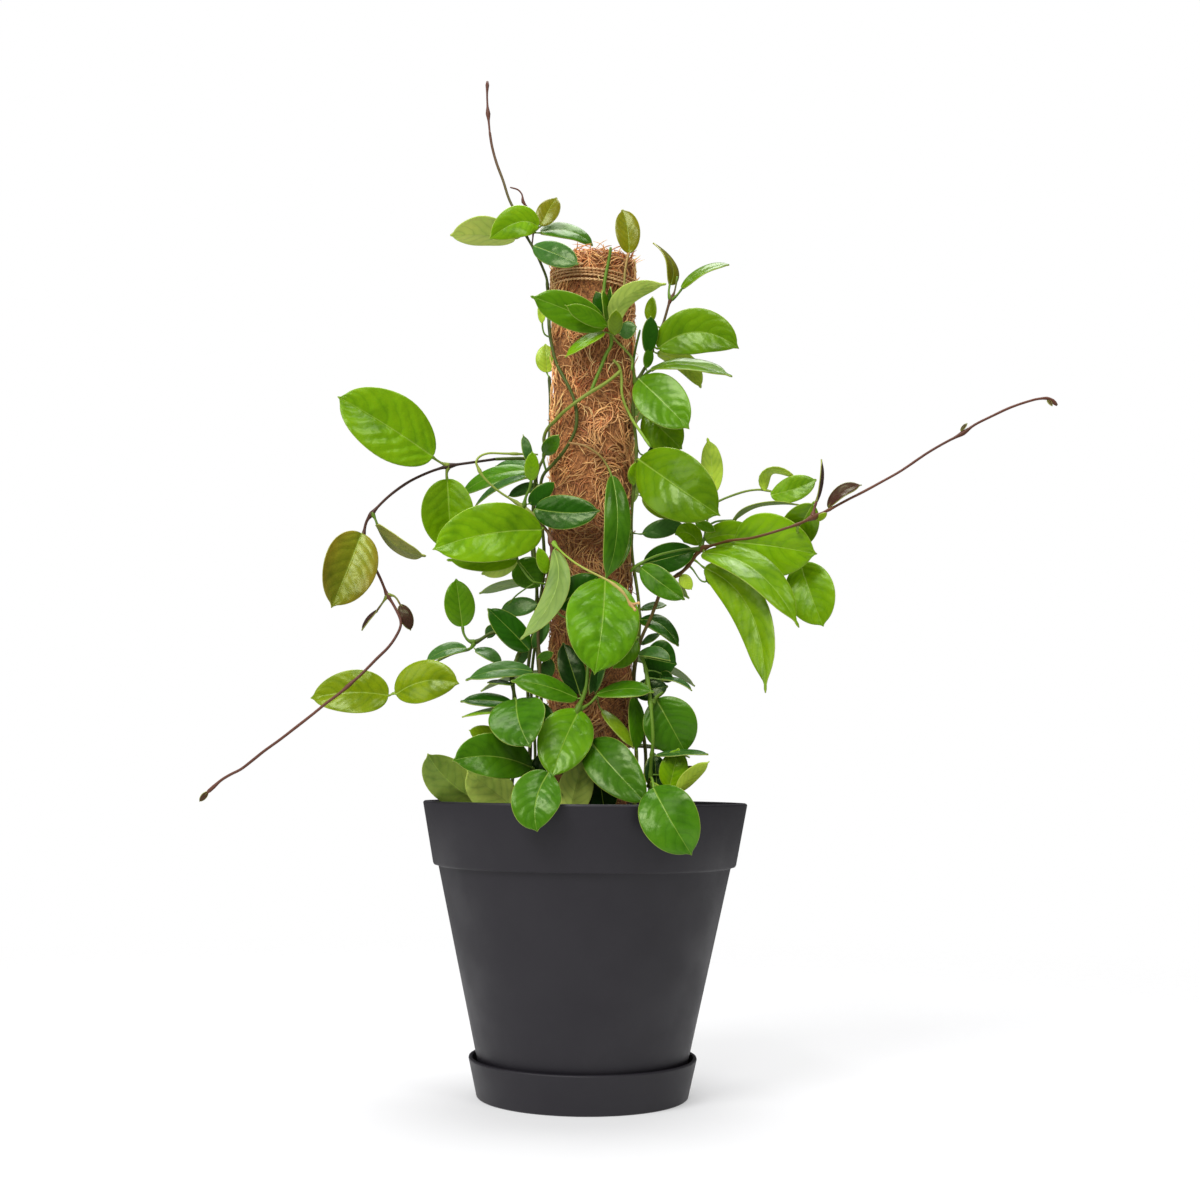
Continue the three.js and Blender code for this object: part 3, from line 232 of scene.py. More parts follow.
def setPoints(mesh, points):
    mesh.vertices.foreach_set("co", np.asarray(points, dtype=float).ravel())
    mesh.update()


def addValues(mesh, name, kind, key, values):
    layer = mesh.attributes.new(name, kind, "POINT")
    layer.data.foreach_set(key, np.asarray(values, dtype=float).ravel())


def addTone(mesh, tones):
    full = np.ones((len(mesh.vertices), 4))
    full[:, :3] = tones
    addValues(mesh, "tone", "FLOAT_COLOR", "color", full)


def meshObject(name, mesh):
    piece = bpy.data.objects.new(name, mesh)
    scene.collection.objects.link(piece)
    return piece


def removeAll(masters):
    for master in masters:
        bpy.data.objects.remove(master)


def finishPiece(piece, nodes, skins=(), sharpAngle=None):
    for skin in skins:
        piece.data.materials.append(skin)
    pick(piece)
    if sharpAngle is None:
        bpy.ops.object.shade_smooth()
    else:
        bpy.ops.object.shade_smooth_by_angle(angle=math.radians(sharpAngle))
    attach(piece, "root")
    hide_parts(*nodes)
    print(piece.name, "done,", sum(len(face.vertices) - 2 for face in piece.data.polygons), "triangles")


# A turned piece: a disc that is extruded and scaled from ring to ring, as [radius, height] in millimetres
def turnedPiece(name, rings, turns):
    deselectAll()
    radius, height = rings[0]
    place = (0, 0, height * mm)
    bpy.ops.mesh.primitive_circle_add(vertices=turns, radius=radius * mm, fill_type="NGON", location=place)
    piece = bpy.context.object
    piece.name = name
    bpy.ops.object.transform_apply(location=True, rotation=True, scale=True)
    with editing():
        for nextRadius, nextHeight in rings[1:]:
            rise = {"value": (0, 0, (nextHeight - height) * mm)}
            bpy.ops.mesh.extrude_region_move(TRANSFORM_OT_translate=rise)
            share = nextRadius / radius
            bpy.ops.transform.resize(value=(share, share, 1), center_override=(0, 0, nextHeight * mm))
            radius, height = nextRadius, nextHeight
        faceOutward()
    return piece


# Pot and saucer of charcoal plastic
potSettings = {
    "turns": 128,
    "tone": (0.0128, 0.0112, 0.0152),
    "wornTone": (0.0185, 0.0168, 0.0208),
    "roughness": (0.44, 0.56),
    "potRings": [
        (60.3, 2.8), (61.5, 4.3), (90, 141), (90.4, 142.4), (91, 143), (93.1, 143.2), (93.6, 144.2),
        (100, 180.9), (99.7, 181.7), (99, 182.1), (97.9, 182.1), (97.2, 181.7), (96.9, 180.9),
        (90.1, 144.2), (87, 140.2), (58.5, 7.3), (57, 5.8),
    ],
    "saucerRings": [
        (64.9, 0), (65.6, 0.6), (70.6, 23.9), (70.4, 24.6), (69.7, 24.9), (68.9, 24.9), (68.3, 24.6),
        (68.1, 23.9), (63.7, 3.7), (62.3, 2.5),
    ],
    "sharpAngle": 24,
    "drains": 4,
    "drainRing": 38,
    "drainHeight": 4,
    "drainRadius": 5,
    "drainDepth": 12,
    "drainSides": 24,
}


def plasticSkin():
    skin, place = newSkin("charcoalPlastic")
    rubbed = ramped(grain(place, 9, 5), 0.42, 0.78)
    fine = grain(place, 1500, 2)
    return dressed(skin, {
        "Base Color": blended(rubbed, potSettings["tone"], potSettings["wornTone"]),
        "Roughness": ramped(grain(place, 26, 4), 0.3, 0.7, *potSettings["roughness"]),
        "Specular IOR Level": 0.35,
        "Normal": bumped(calc("MULTIPLY_ADD", grain(place, 90, 3), 0.8, fine), 0.16, 0.0003),
    })


def makePot(skin):
    pot = turnedPiece("pot_shell", potSettings["potRings"], potSettings["turns"])
    ring, height = potSettings["drainRing"], potSettings["drainHeight"]
    for index in range(potSettings["drains"]):
        turn = 2 * math.pi * (index + 0.5) / potSettings["drains"]
        place = (ring * math.cos(turn), ring * math.sin(turn), height)
        bore(pot, place, potSettings["drainRadius"], potSettings["drainDepth"], potSettings["drainSides"])
    finishPiece(pot, ["pot"], [skin], potSettings["sharpAngle"])


def makeSaucer(skin):
    saucer = turnedPiece("saucer_dish", potSettings["saucerRings"], potSettings["turns"])
    finishPiece(saucer, ["saucer"], [skin], potSettings["sharpAngle"])


charcoal = plasticSkin()
makePot(charcoal)
makeSaucer(charcoal)

# Soil: a rough bed with bark chips and a few white perlite grains
soilSettings = {
    "turns": 80,
    "wallRings": [(56.5, 6.1), (58.6, 11.8), (85.8, 138.2), (86.2, 144.2), (92.2, 162.6), (91.4, 164.3)],
    "topRings": 26,
    "top": 164.5,
    "lumps": ((16, 1.7, 1.5), (4.5, 8.1, 0.7)),    # the width, noise layer and height of each kind
    "bore": {"place": (2, 0, 109), "radius": 26, "depth": 150, "sides": 64},
    "openFrom": 25.5,
    "openTo": 91,
    "seed": 5,
    "chipTones": ("#4a3122", "#5f4230", "#37251b", "#6d5039"),
    "chips": {"count": 430, "sizes": (4.5, 11), "seed": 5, "sink": 0.06},
    "grains": {"count": 70, "sizes": (1.6, 3.4), "seed": 8, "sink": 0.2},
}


def lumpAt(x, y):
    lumps = soilSettings["lumps"]
    return sum(high * noise.noise(Vector((x / wide, y / wide, layer))) for wide, layer, high in lumps)


def soilSkin():
    skin, place = newSkin("soilMix")
    share = ramped(grain(place, 420, 6, 0.7), 0.35, 0.7)
    return dressed(skin, {
        "Base Color": blended(share, (0.017, 0.011, 0.008), (0.068, 0.041, 0.026)),
        "Roughness": 0.95,
        "Normal": bumped(grain(place, 700, 6, 0.7), 0.9, 0.0012),
    })


def barkSkin():
    skin, place = newSkin("barkChips")
    flakes = grain(place, 900, 5, 0.65)
    tone = attributeOf(skin, "tone")
    light = blended(0.5, tone, (0.2, 0.13, 0.085))
    return dressed(skin, {
        "Base Color": blended(ramped(flakes, 0.4, 0.75), tone, light),
        "Roughness": 0.9,
        "Normal": bumped(flakes, 0.7, 0.0006),
    })


def perliteSkin():
    skin, place = newSkin("perlite")
    pits = grain(place, 1300, 4, 0.6)
    return dressed(skin, {
        "Base Color": blended(pits, (0.42, 0.4, 0.36), (0.74, 0.72, 0.67)),
        "Roughness": 0.9,
        "Normal": bumped(pits, 0.6, 0.0005),
    })


def barkMaster():
    deselectAll()
    bpy.ops.mesh.primitive_cube_add(size=1)
    chip = bpy.context.object
    with editing():
        bpy.ops.transform.resize(value=(1, 0.55, 0.26))
        bpy.ops.mesh.bevel(offset=0.08, segments=1)
        bpy.ops.mesh.quads_convert_to_tris()
    points = pointsOf(chip.data)
    points[:, 2] += 0.1 * np.sin(5 * points[:, 0]) + 0.06 * np.sin(9 * points[:, 1] + 4 * points[:, 0])
    points[:, 1] *= 1 + 0.25 * np.sin(4 * points[:, 0] + 1)
    setPoints(chip.data, points)
    return chip


def grainMaster():
    deselectAll()
    bpy.ops.mesh.primitive_ico_sphere_add(subdivisions=2, radius=0.5)
    pebble = bpy.context.object
    points = pointsOf(pebble.data)
    for index, point in enumerate(points):
        points[index] = point * (1 + 0.45 * noise.noise(Vector(point * 3.1)))
    setPoints(pebble.data, points)
    return pebble


# One mesh of many copies of a master: spots holds the vertex places of each copy, in millimetres
def copiedMesh(name, master, spots):
    faces = [tuple(face.vertices) for face in master.data.polygons]
    size = len(master.data.vertices)
    starts = range(0, size * len(spots), size)
    allFaces = [tuple(start + corner for corner in face) for start in starts for face in faces]
    mesh = bpy.data.meshes.new(name)
    mesh.from_pydata(np.concatenate(spots) * mm, [], allFaces)
    mesh.update()
    return mesh


# Lays copies of the master on the soil, clear of the pole and of the pot's wall
def scatterOnSoil(name, master, count, sizes, seed, sink):
    draw = np.random.default_rng(seed)
    shape = pointsOf(master.data)
    openFrom, openTo = soilSettings["openFrom"], soilSettings["openTo"]
    poleX = soilSettings["bore"]["place"][0]
    spots = []
    while len(spots) < count:
        reach = (openTo + 1) * math.sqrt(draw.uniform(0.085, 1))
        bearing = draw.uniform(0, 2 * math.pi)
        size = draw.uniform(*sizes) * (1 if draw.uniform() < 0.8 else 1.3)
        x, y = reach * math.cos(bearing), reach * math.sin(bearing)
        if reach + 0.5 * size > openTo or math.hypot(x - poleX, y) - 0.5 * size < openFrom:
            continue
        spin, lean, roll = draw.uniform(*anyTurn), draw.normal(0, 0.3), draw.normal(0, 0.35)
        turned = shape * size @ np.array(Euler((roll, lean, spin)).to_matrix()).T
        height = soilSettings["top"] + lumpAt(x, y) + size * sink + draw.uniform(0, 0.8)
        spots.append(turned + np.array([x, y, height]))
    return copiedMesh(name, master, spots)


def makeSoil():
    low, top, count = soilSettings["wallRings"], soilSettings["top"], soilSettings["topRings"]
    inward = [(low[-1][0] * (1 - index / (count + 0.5)), top) for index in range(1, count + 1)]
    bed = turnedPiece("soil_bed", low + inward, soilSettings["turns"])
    points = pointsOf(bed.data) / mm
    for point in points:
        if point[2] > top - 0.4:
            point[2] += lumpAt(point[0], point[1])
    setPoints(bed.data, points * mm)
    deselectAll()
    bore(bed, **soilSettings["bore"])
    finishPiece(bed, ["soil"], [soilSkin()], 40)
    chip, pebble = barkMaster(), grainMaster()
    chips = scatterOnSoil("bark_chips", chip, **soilSettings["chips"])
    draw = np.random.default_rng(soilSettings["seed"])
    tones = np.array([fromHex(code) for code in soilSettings["chipTones"]])
    count = soilSettings["chips"]["count"]
    each = tones[draw.integers(0, len(tones), count)] * draw.uniform(0.75, 1.2, (count, 1))
    addTone(chips, np.repeat(each, len(chip.data.vertices), axis=0))
    finishPiece(meshObject("bark_chips", chips), ["soil"], [barkSkin()], 30)
    grains = scatterOnSoil("perlite_grains", pebble, **soilSettings["grains"])
    finishPiece(meshObject("perlite_grains", grains), ["soil"], [perliteSkin()])
    removeAll((chip, pebble))


makeSoil()

# Pole: a felted sleeve of coir, its loose fibres, the stake inside it and the twine near the top
poleSettings = {
    "x": 2,
    "bedLow": 150,
    "low": 156,
    "top": 517,
    "bedTurns": 96,
    "bedStep": 4,
    "bedRadius": 24.2,
    "boreRadius": 11.5,
    "fibreReach": 24.5,
    "wrapRadius": 25,       # turns a length around the sleeve into an angle
    "bands": {"coir_fibres_low": (158, 338), "coir_fibres_high": (338, 516)},
    "tufts": 640,
    "quickTufts": 60,
    "tuftFibres": 9,
    "tuftReach": 3.2,
    "topFibres": 320,
    "edgeFibres": 110,
    "joints": 6,
    "fibreWidth": (0.22, 0.42),
    "lengths": (7, 19),
    "darkTone": "#b85c1e",
    "lightTone": "#ffcb84",
    # painted shade of the leaves on the low part of the pole: darkest below the first height, gone above the
    # second
    "leafShadeUpTo": (345, 425),
    "seed": 21,
}


def coirBedSkin():
    skin, place = newSkin("coirFelt")
    threads = grain(place, 700, 6, 0.75)
    return dressed(skin, {
        "Base Color": blended(ramped(threads, 0.35, 0.72), (0.12, 0.038, 0.01), (0.66, 0.28, 0.085)),
        "Roughness": 0.95,
        "Normal": bumped(threads, 1.0, 0.0012),
    })


def coirFibreSkin():
    skin, place = newSkin("coirFibre")
    tone = attributeOf(skin, "tone")
    darker = blended(0.4, tone, (0.3, 0.1, 0.03))
    return dressed(skin, {
        "Base Color": blended(ramped(grain(place, 300, 4), 0.45, 0.8), tone, darker),
        "Roughness": 0.72,
        "Sheen Weight": 0.12,
    })


def stakeSkin():
    skin, place = newSkin("stakeWood")
    across = addNode(skin.node_tree, "Mapping", {"Vector": place, "Scale": (1, 1, 0.06)}).outputs["Vector"]
    rings = grain(across, 420, 5, 0.6)
    return dressed(skin, {
        "Base Color": blended(rings, (0.21, 0.12, 0.06), (0.5, 0.33, 0.19)),
        "Roughness": 0.8,
        "Normal": bumped(rings, 0.4, 0.0006),
    })


def makeCoirBed():
    top, radius, inner = poleSettings["top"], poleSettings["bedRadius"], poleSettings["boreRadius"]
    heights = np.arange(poleSettings["bedLow"], top - 2, poleSettings["bedStep"])
    rings = [(radius, height) for height in heights]
    rings += [(radius - 0.6, top - 2), (radius - 3, top - 1), (18, top - 0.6), (13, top - 1)]
    rings += [(11.6, top - 2.5), (inner, top - 8)]
    bed = turnedPiece("coir_felt", rings, poleSettings["bedTurns"])
    points = pointsOf(bed.data) / mm
    for point in points:
        reach = math.hypot(point[0], point[1])
        if reach > inner + 1:
            lump = noise.noise(Vector(point / 7)) * 0.9 + noise.noise(Vector(point / 2.6)) * 0.7
            point[:2] *= 1 + lump / reach
        point[0] += poleSettings["x"]
    setPoints(bed.data, points * mm)
    finishPiece(bed, ["coir_sleeve"], [coirBedSkin()])


# A straight fibre of three sides, extruded joint by joint; every copy is bent on its own line
def fibreMaster():
    deselectAll()
    bpy.ops.mesh.primitive_circle_add(vertices=3, radius=1, fill_type="NGON")
    fibre = bpy.context.object
    with editing():
        for _ in range(poleSettings["joints"]):
            bpy.ops.mesh.extrude_region_move(TRANSFORM_OT_translate={"value": (0, 0, 1)})
        faceOutward()
    return fibre


def unitRows(vectors):
    return vectors / (np.linalg.norm(vectors, axis=-1, keepdims=True) + 1e-9)


# Bends copies of the fibre on their lines: lines and outward are (copies, joints + 1, 3), in millimetres
def bentFibres(master, lines, outward, widths):
    shape = pointsOf(master.data)
    joint = np.rint(shape[:, 2]).astype(int)
    run = unitRows(np.gradient(lines, axis=1))
    aside = unitRows(np.cross(run, outward))
    lift = np.cross(aside, run)
    share = joint / poleSettings["joints"]
    taper = np.clip(np.minimum(share, 1 - share) * 6, 0.35, 1)
    width = widths[:, None] * taper[None, :]
    ring = shape[None, :, 0, None] * aside[:, joint] + shape[None, :, 1, None] * lift[:, joint]
    return lines[:, joint] + width[..., None] * ring


# Lines that wander over the sleeve in tufts: the fibres of a tuft lie side by side and turn together
def wanderingLines(tufts, lowest, highest, draw):
    joints, each, top = poleSettings["joints"], poleSettings["tuftFibres"], poleSettings["top"]
    wrap, spread = poleSettings["wrapRadius"], poleSettings["tuftReach"]
    count = tufts * each

    def shared(values):
        return np.repeat(values, each)

    bearing = shared(draw.uniform(0, 2 * math.pi, tufts)) + draw.normal(0, spread / wrap, count)
    height = shared(draw.uniform(lowest, highest, tufts)) + draw.normal(0, spread, count)
    length = draw.uniform(*poleSettings["lengths"], count)
    heading = shared(draw.normal(0.9, 1.0, tufts)) + draw.normal(0, 0.3, count)
    bend = shared(draw.normal(0, 0.07, tufts)) + draw.normal(0, 0.03, count)
    wobble = draw.uniform(0.02, 0.1, count)
    phase = shared(draw.uniform(*anyTurn, tufts))
    sunk = shared(draw.uniform(-0.3, 0.9, tufts)) + draw.normal(0, 0.3, count)
    arch = shared(draw.uniform(0, 0.9, tufts)) + draw.uniform(0, 0.4, count)
    loose = np.where(draw.uniform(0, 1, count) < 0.07, draw.uniform(1, 4.5, count), 0)
    step = length / joints
    around, along = bearing * wrap, np.clip(height, lowest, highest)
    lines, outward = np.empty((count, joints + 1, 3)), np.empty((count, joints + 1, 3))
    shade = np.empty((count, joints + 1))
    for joint in range(joints + 1):
        share = joint / joints
        reach = poleSettings["fibreReach"] + sunk + arch * math.sin(math.pi * share)
        reach += 0.25 * np.sin(9 * share + phase) + loose * share ** 2.2
        over = np.maximum(along - (top - 0.8), 0)
        reach -= 1.3 * over
        angle = around / wrap
        outward[:, joint] = np.stack([np.cos(angle), np.sin(angle), np.zeros(count)], axis=1)
        lines[:, joint] = outward[:, joint] * reach[:, None]
        lines[:, joint, 0] += poleSettings["x"]
        lines[:, joint, 2] = along - 0.75 * over
        # shade is painted shade: fibres that lie close to the felt come out darker
        shade[:, joint] = np.clip((reach - poleSettings["bedRadius"]) / 2.2, 0, 1)
        heading = heading + step * (bend + wobble * np.sin(phase + 5 * share))
        around = around + step * np.cos(heading)
        along = np.clip(along + step * np.sin(heading), poleSettings["low"], top + 4)
    return lines, outward, shade


# Painted shade on the fibres: those that lie close to the felt are darker, as in its hollows; the pole is
# darker and redder low down, as in the shade of the leaves; and wavy bands across it are darker, as in
# hollows between rows of tufts
def fibreTones(shade, lines, draw):
    dark, light = fromHex(poleSettings["darkTone"]), fromHex(poleSettings["lightTone"])
    each = np.clip(0.12 + 0.8 * shade + draw.normal(0, 0.24, (len(shade), 1)), 0, 1)
    aside, heights = lines[..., 0], lines[..., 2]
    # painted shade in wavy bands across the pole, as in hollows between rows of tufts
    rows = 0.92 + 0.15 * np.sin(heights / 6.5 + 1.7 * np.sin(aside / 6) + 0.8 * np.sin(heights / 17))
    # painted shade of the leaves: darker and redder low on the pole
    paintedShade = np.interp(heights, poleSettings["leafShadeUpTo"], (0.52, 1)) * rows
    paintedShade = paintedShade[..., None] ** np.array([0.9, 1, 1.4])
    fibres = (dark + each[..., None] * (light - dark)) * draw.uniform(0.88, 1.35, (len(shade), 1, 1))
    return np.minimum(fibres * paintedShade, 1)


def makeFibrePiece(name, master, lines, outward, shade, draw, skin):
    widths = draw.uniform(*poleSettings["fibreWidth"], len(lines))
    mesh = copiedMesh(name, master, list(bentFibres(master, lines, outward, widths)))
    joint = np.rint(pointsOf(master.data)[:, 2]).astype(int)
    addTone(mesh, fibreTones(shade, lines, draw)[:, joint].reshape(-1, 3))
    finishPiece(meshObject(name, mesh), ["coir_sleeve"], [skin])


# Fibres across the top, and tufts that stand up from its edge
def topLines(count, tufts, draw):
    joints, top, middle = poleSettings["joints"], poleSettings["top"], poleSettings["x"]
    nearest, furthest = 12.4, poleSettings["fibreReach"]
    lines, outward = np.empty((count + tufts, joints + 1, 3)), np.zeros((count + tufts, joints + 1, 3))
    outward[:count, :, 2] = 1
    for copy in range(count):
        reach, angle = draw.uniform(13.5, 22), draw.uniform(*anyTurn)
        heading, bend = draw.uniform(*anyTurn), draw.normal(0, 0.13)
        x, y, step = reach * math.cos(angle), reach * math.sin(angle), draw.uniform(0.8, 1.7)
        level = top - 0.6 + draw.uniform(-0.4, 1.3)
        for joint in range(joints + 1):
            away = math.hypot(x, y)
            keep = min(max(away, nearest), furthest) / away
            x, y = x * keep, y * keep
            lines[copy, joint] = (middle + x, y, level + 0.5 * math.sin(3 * joint / joints + copy))
            x, y, heading = x + step * math.cos(heading), y + step * math.sin(heading), heading + step * bend
    for copy in range(count, count + tufts):
        angle = draw.uniform(*anyTurn)
        lean, drift = draw.normal(0.35, 0.5), draw.normal(0, 0.8)
        tall, curl = draw.uniform(2.5, 8), draw.normal(0, 1.2)
        start = draw.uniform(21, 24.8)
        for joint in range(joints + 1):
            share = joint / joints
            turn = angle + (drift * share + curl * share ** 2) * tall / poleSettings["wrapRadius"]
            reach = start + lean * tall * share ** 1.5
            rise = top - 3 + tall * math.sin(1.3 * share)
            lines[copy, joint] = (middle + reach * math.cos(turn), reach * math.sin(turn), rise)
            outward[copy, joint] = (math.cos(angle), math.sin(angle), 0)
    return lines, outward, np.full((count + tufts, joints + 1), 0.55)


def makeCoir():
    makeCoirBed()
    draw = np.random.default_rng(poleSettings["seed"])
    master, skin = fibreMaster(), coirFibreSkin()
    tufts = poleSettings["tufts"]
    for name, (lowest, highest) in poleSettings["bands"].items():
        makeFibrePiece(name, master, *wanderingLines(tufts // 2, lowest, highest, draw), draw, skin)
    tips = topLines(poleSettings["topFibres"], poleSettings["edgeFibres"], draw)
    makeFibrePiece("coir_fibres_top", master, *tips, draw, skin)
    removeAll([master])
    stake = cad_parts["pole_stake"]
    stake.data.materials.clear()
    stake.data.materials.append(stakeSkin())


makeCoir()

twineSettings = {
    "low": 496.2,
    "pitch": 2.25,
    "turns": 4.6,
    "startTurn": 0.7,
    "step": 0.95,
    "reach": 26.7,
    "slant": -0.11,
    "plyRadius": 0.36,
    "twist": 5,
    "tone": (0.56, 0.3, 0.12),
    "paleTone": (0.88, 0.56, 0.27),
}


# Tubes drawn as curves and made a mesh: each tube is its points, its radii and its tones
def tubesObject(name, tubes, sides):
    curve = bpy.data.curves.new(name, "CURVE")
    curve.dimensions = "3D"
    curve.bevel_depth = mm
    curve.bevel_resolution = sides // 2 - 2
    curve.use_fill_caps = True
    for points, radii, _ in tubes:
        spline = curve.splines.new("POLY")
        spline.points.add(len(points) - 1)
        flat = np.ones((len(points), 4))
        flat[:, :3] = points * mm
        spline.points.foreach_set("co", flat.ravel())
        spline.points.foreach_set("radius", radii)
    pick(meshObject(name, curve))
    bpy.ops.object.convert(target="MESH")
    tubePiece = bpy.context.object
    # the end caps come first, from the last tube to the first, and then the tubes themselves
    caps = [tones[end] for _, _, tones in reversed(tubes) for end in (-1, 0)]
    along = np.concatenate([tones for _, _, tones in tubes])
    addTone(tubePiece.data, np.repeat(np.concatenate([caps, along]), sides, axis=0))
    with editing():
        bpy.ops.mesh.remove_doubles(threshold=0.0000001)
    return tubePiece


def twineSkin():
    skin, place = newSkin("twineFibre")
    hairs = grain(place, 1400, 4, 0.7)
    return dressed(skin, {
        "Base Color": blended(ramped(hairs, 0.4, 0.75), attributeOf(skin, "tone"), (0.3, 0.15, 0.055)),
        "Roughness": 0.85,
        "Normal": bumped(hairs, 0.6, 0.0004),
    })


# Two plies that twist about each other and wander a little from turn to turn
def makeTwine():
    reach, thick = twineSettings["reach"], twineSettings["plyRadius"]
    dark, pale = np.array(twineSettings["tone"]), np.array(twineSettings["paleTone"])
    sweep = twineSettings["turns"] * 2 * math.pi
    count = int(sweep * reach / twineSettings["step"])
    turn = np.linspace(0, sweep, count) + twineSettings["startTurn"]
    wander = 0.35 * np.sin(1.3 * turn) + 0.25 * np.sin(2.9 * turn + 1)
    height = twineSettings["low"] + twineSettings["pitch"] * turn / (2 * math.pi) + wander
    height += twineSettings["slant"] * reach * np.cos(turn)
    radial = np.stack([np.cos(turn), np.sin(turn), np.zeros(count)], axis=1)
    centre = radial * reach + np.array([poleSettings["x"], 0, 0])
    centre[:, 2] += height
    plies = []
    for ply in range(2):
        twist = turn * reach / twineSettings["twist"] * 2 * math.pi + math.pi * ply
        offset = np.cos(twist)[:, None] * radial + np.sin(twist)[:, None] * np.array([0, 0, 1])
        share = 0.5 + 0.5 * np.sin(turn * 1.7 + ply)
        tones = dark + share[:, None] * (pale - dark)
        plies.append((centre + offset * thick, np.full(count, thick * 1.08), tones))
    twine = tubesObject("twine_strands", plies, 6)
    finishPiece(twine, ["twine_wrap"], [twineSkin()])


makeTwine()

# Stems and leaves
plantSettings = {
    "eyeDistance": 1021,
    "eyeHeight": 196.8,
    "sleeveReach": 25.5,
    "stemStep": 2.0,
    "stemSides": 8,
    "petioleRings": 9,
    "nodeSwell": 0.4,
    "nodeLength": 2.2,
    "slimmer": 0.8,
    "swayFrom": 1.2,
    "swayWide": 2.0,
    "swayLong": 15,
    "seed": 90,
}

# The tone of the face that is seen, of the other one, and the one it turns to at the rim. Besides the leaves'
# own colours, some tones are painted light and shade: the pale yellow-green of leaves seen from below in
# shade is painted light, as of light through them, the darkest green is painted shade, and some leaves that
# lie in shade are given a lighter tone than their own, as painted light.
leafTones = {
    "bright": ("#689405", "#8ba841", "#7d9f0d"),
    "golden": ("#507503", "#8ba841", "#6f900a"),
    "sunny": ("#6b9206", "#8ba841", "#7fa00e"),
    "lit": ("#4d7c07", "#82a13f", "#67920c"),
    "fresh": ("#37650a", "#74923d", "#47710e"),
    "lime": ("#6c8205", "#94a843", "#7d930f"),
    "pale": ("#a3c035", "#4f800a", "#a8bd4d"),
    "mid": ("#3b6906", "#729141", "#45790f"),
    # painted shade: the darkest green, for leaves that lie in shadow low in the plant
    "deep": ("#12300a", "#3f5c28", "#1c4008"),
    "dark": ("#1e4c06", "#65873e", "#2e5e0c"),
    "olive": ("#63800c", "#839443", "#778a18"),
    "veiled": ("#748c36", "#4e710f", "#7f8b36"),
    "bronze": ("#422a21", "#52392d", "#35201c"),
    "bronzed": ("#79831c", "#83883d", "#7a4a11"),
    "dusty": ("#6f7434", "#9a9c58", "#8a7c3c"),
    "tawny": ("#656804", "#83883d", "#6f5210"),
    "grey": ("#365f24", "#728c52", "#4b7330"),
    "mist": ("#718c40", "#456f1c", "#92ab60"),
    "backlit": ("#b4cc5c", "#4f800a", "#c4d068"),
}
stemTones = {
    "green": "#5a7a1e",
    "dark": "#46561a",
    "olive": "#86963c",
    "light": "#7aa030",
    "brown": "#5f3a2c",
    "umber": "#664320",
    "black": "#30231c",
    "tan": "#a57f4e",
    "bud": "#c8a566",
}


# The sight point at (x, z) where a stem lies on the front of the pole
def hug(x, z, gap=3):
    reach = plantSettings["sleeveReach"] + gap
    depth = -reach
    for _ in range(4):
        aside = x * (1 + depth / plantSettings["eyeDistance"]) - poleSettings["x"]
        depth = -math.sqrt(max(reach * reach - aside * aside, 0))
    return (x, z, depth)


# A sight point is (x, z, depth), as the camera projects it on the plane of the pole
def placed(point):
    x, z, depth = point
    spread = 1 + depth / plantSettings["eyeDistance"]
    eyeHeight = plantSettings["eyeHeight"]
    return np.array((x * spread, depth, eyeHeight + (z - eyeHeight) * spread))


# The vines that the photograph shows, as sight points in millimetres. A stem is its radius, first and last
# tone, and route. A leaf is its base, middle, tip, width, tilt and tone: at tilt 0 its upper face looks at
# the camera, at 90 skyward. A seventh value is the crease along its midrib in degrees. A bud is its centre,
# half length and radius.
frontVines = {}
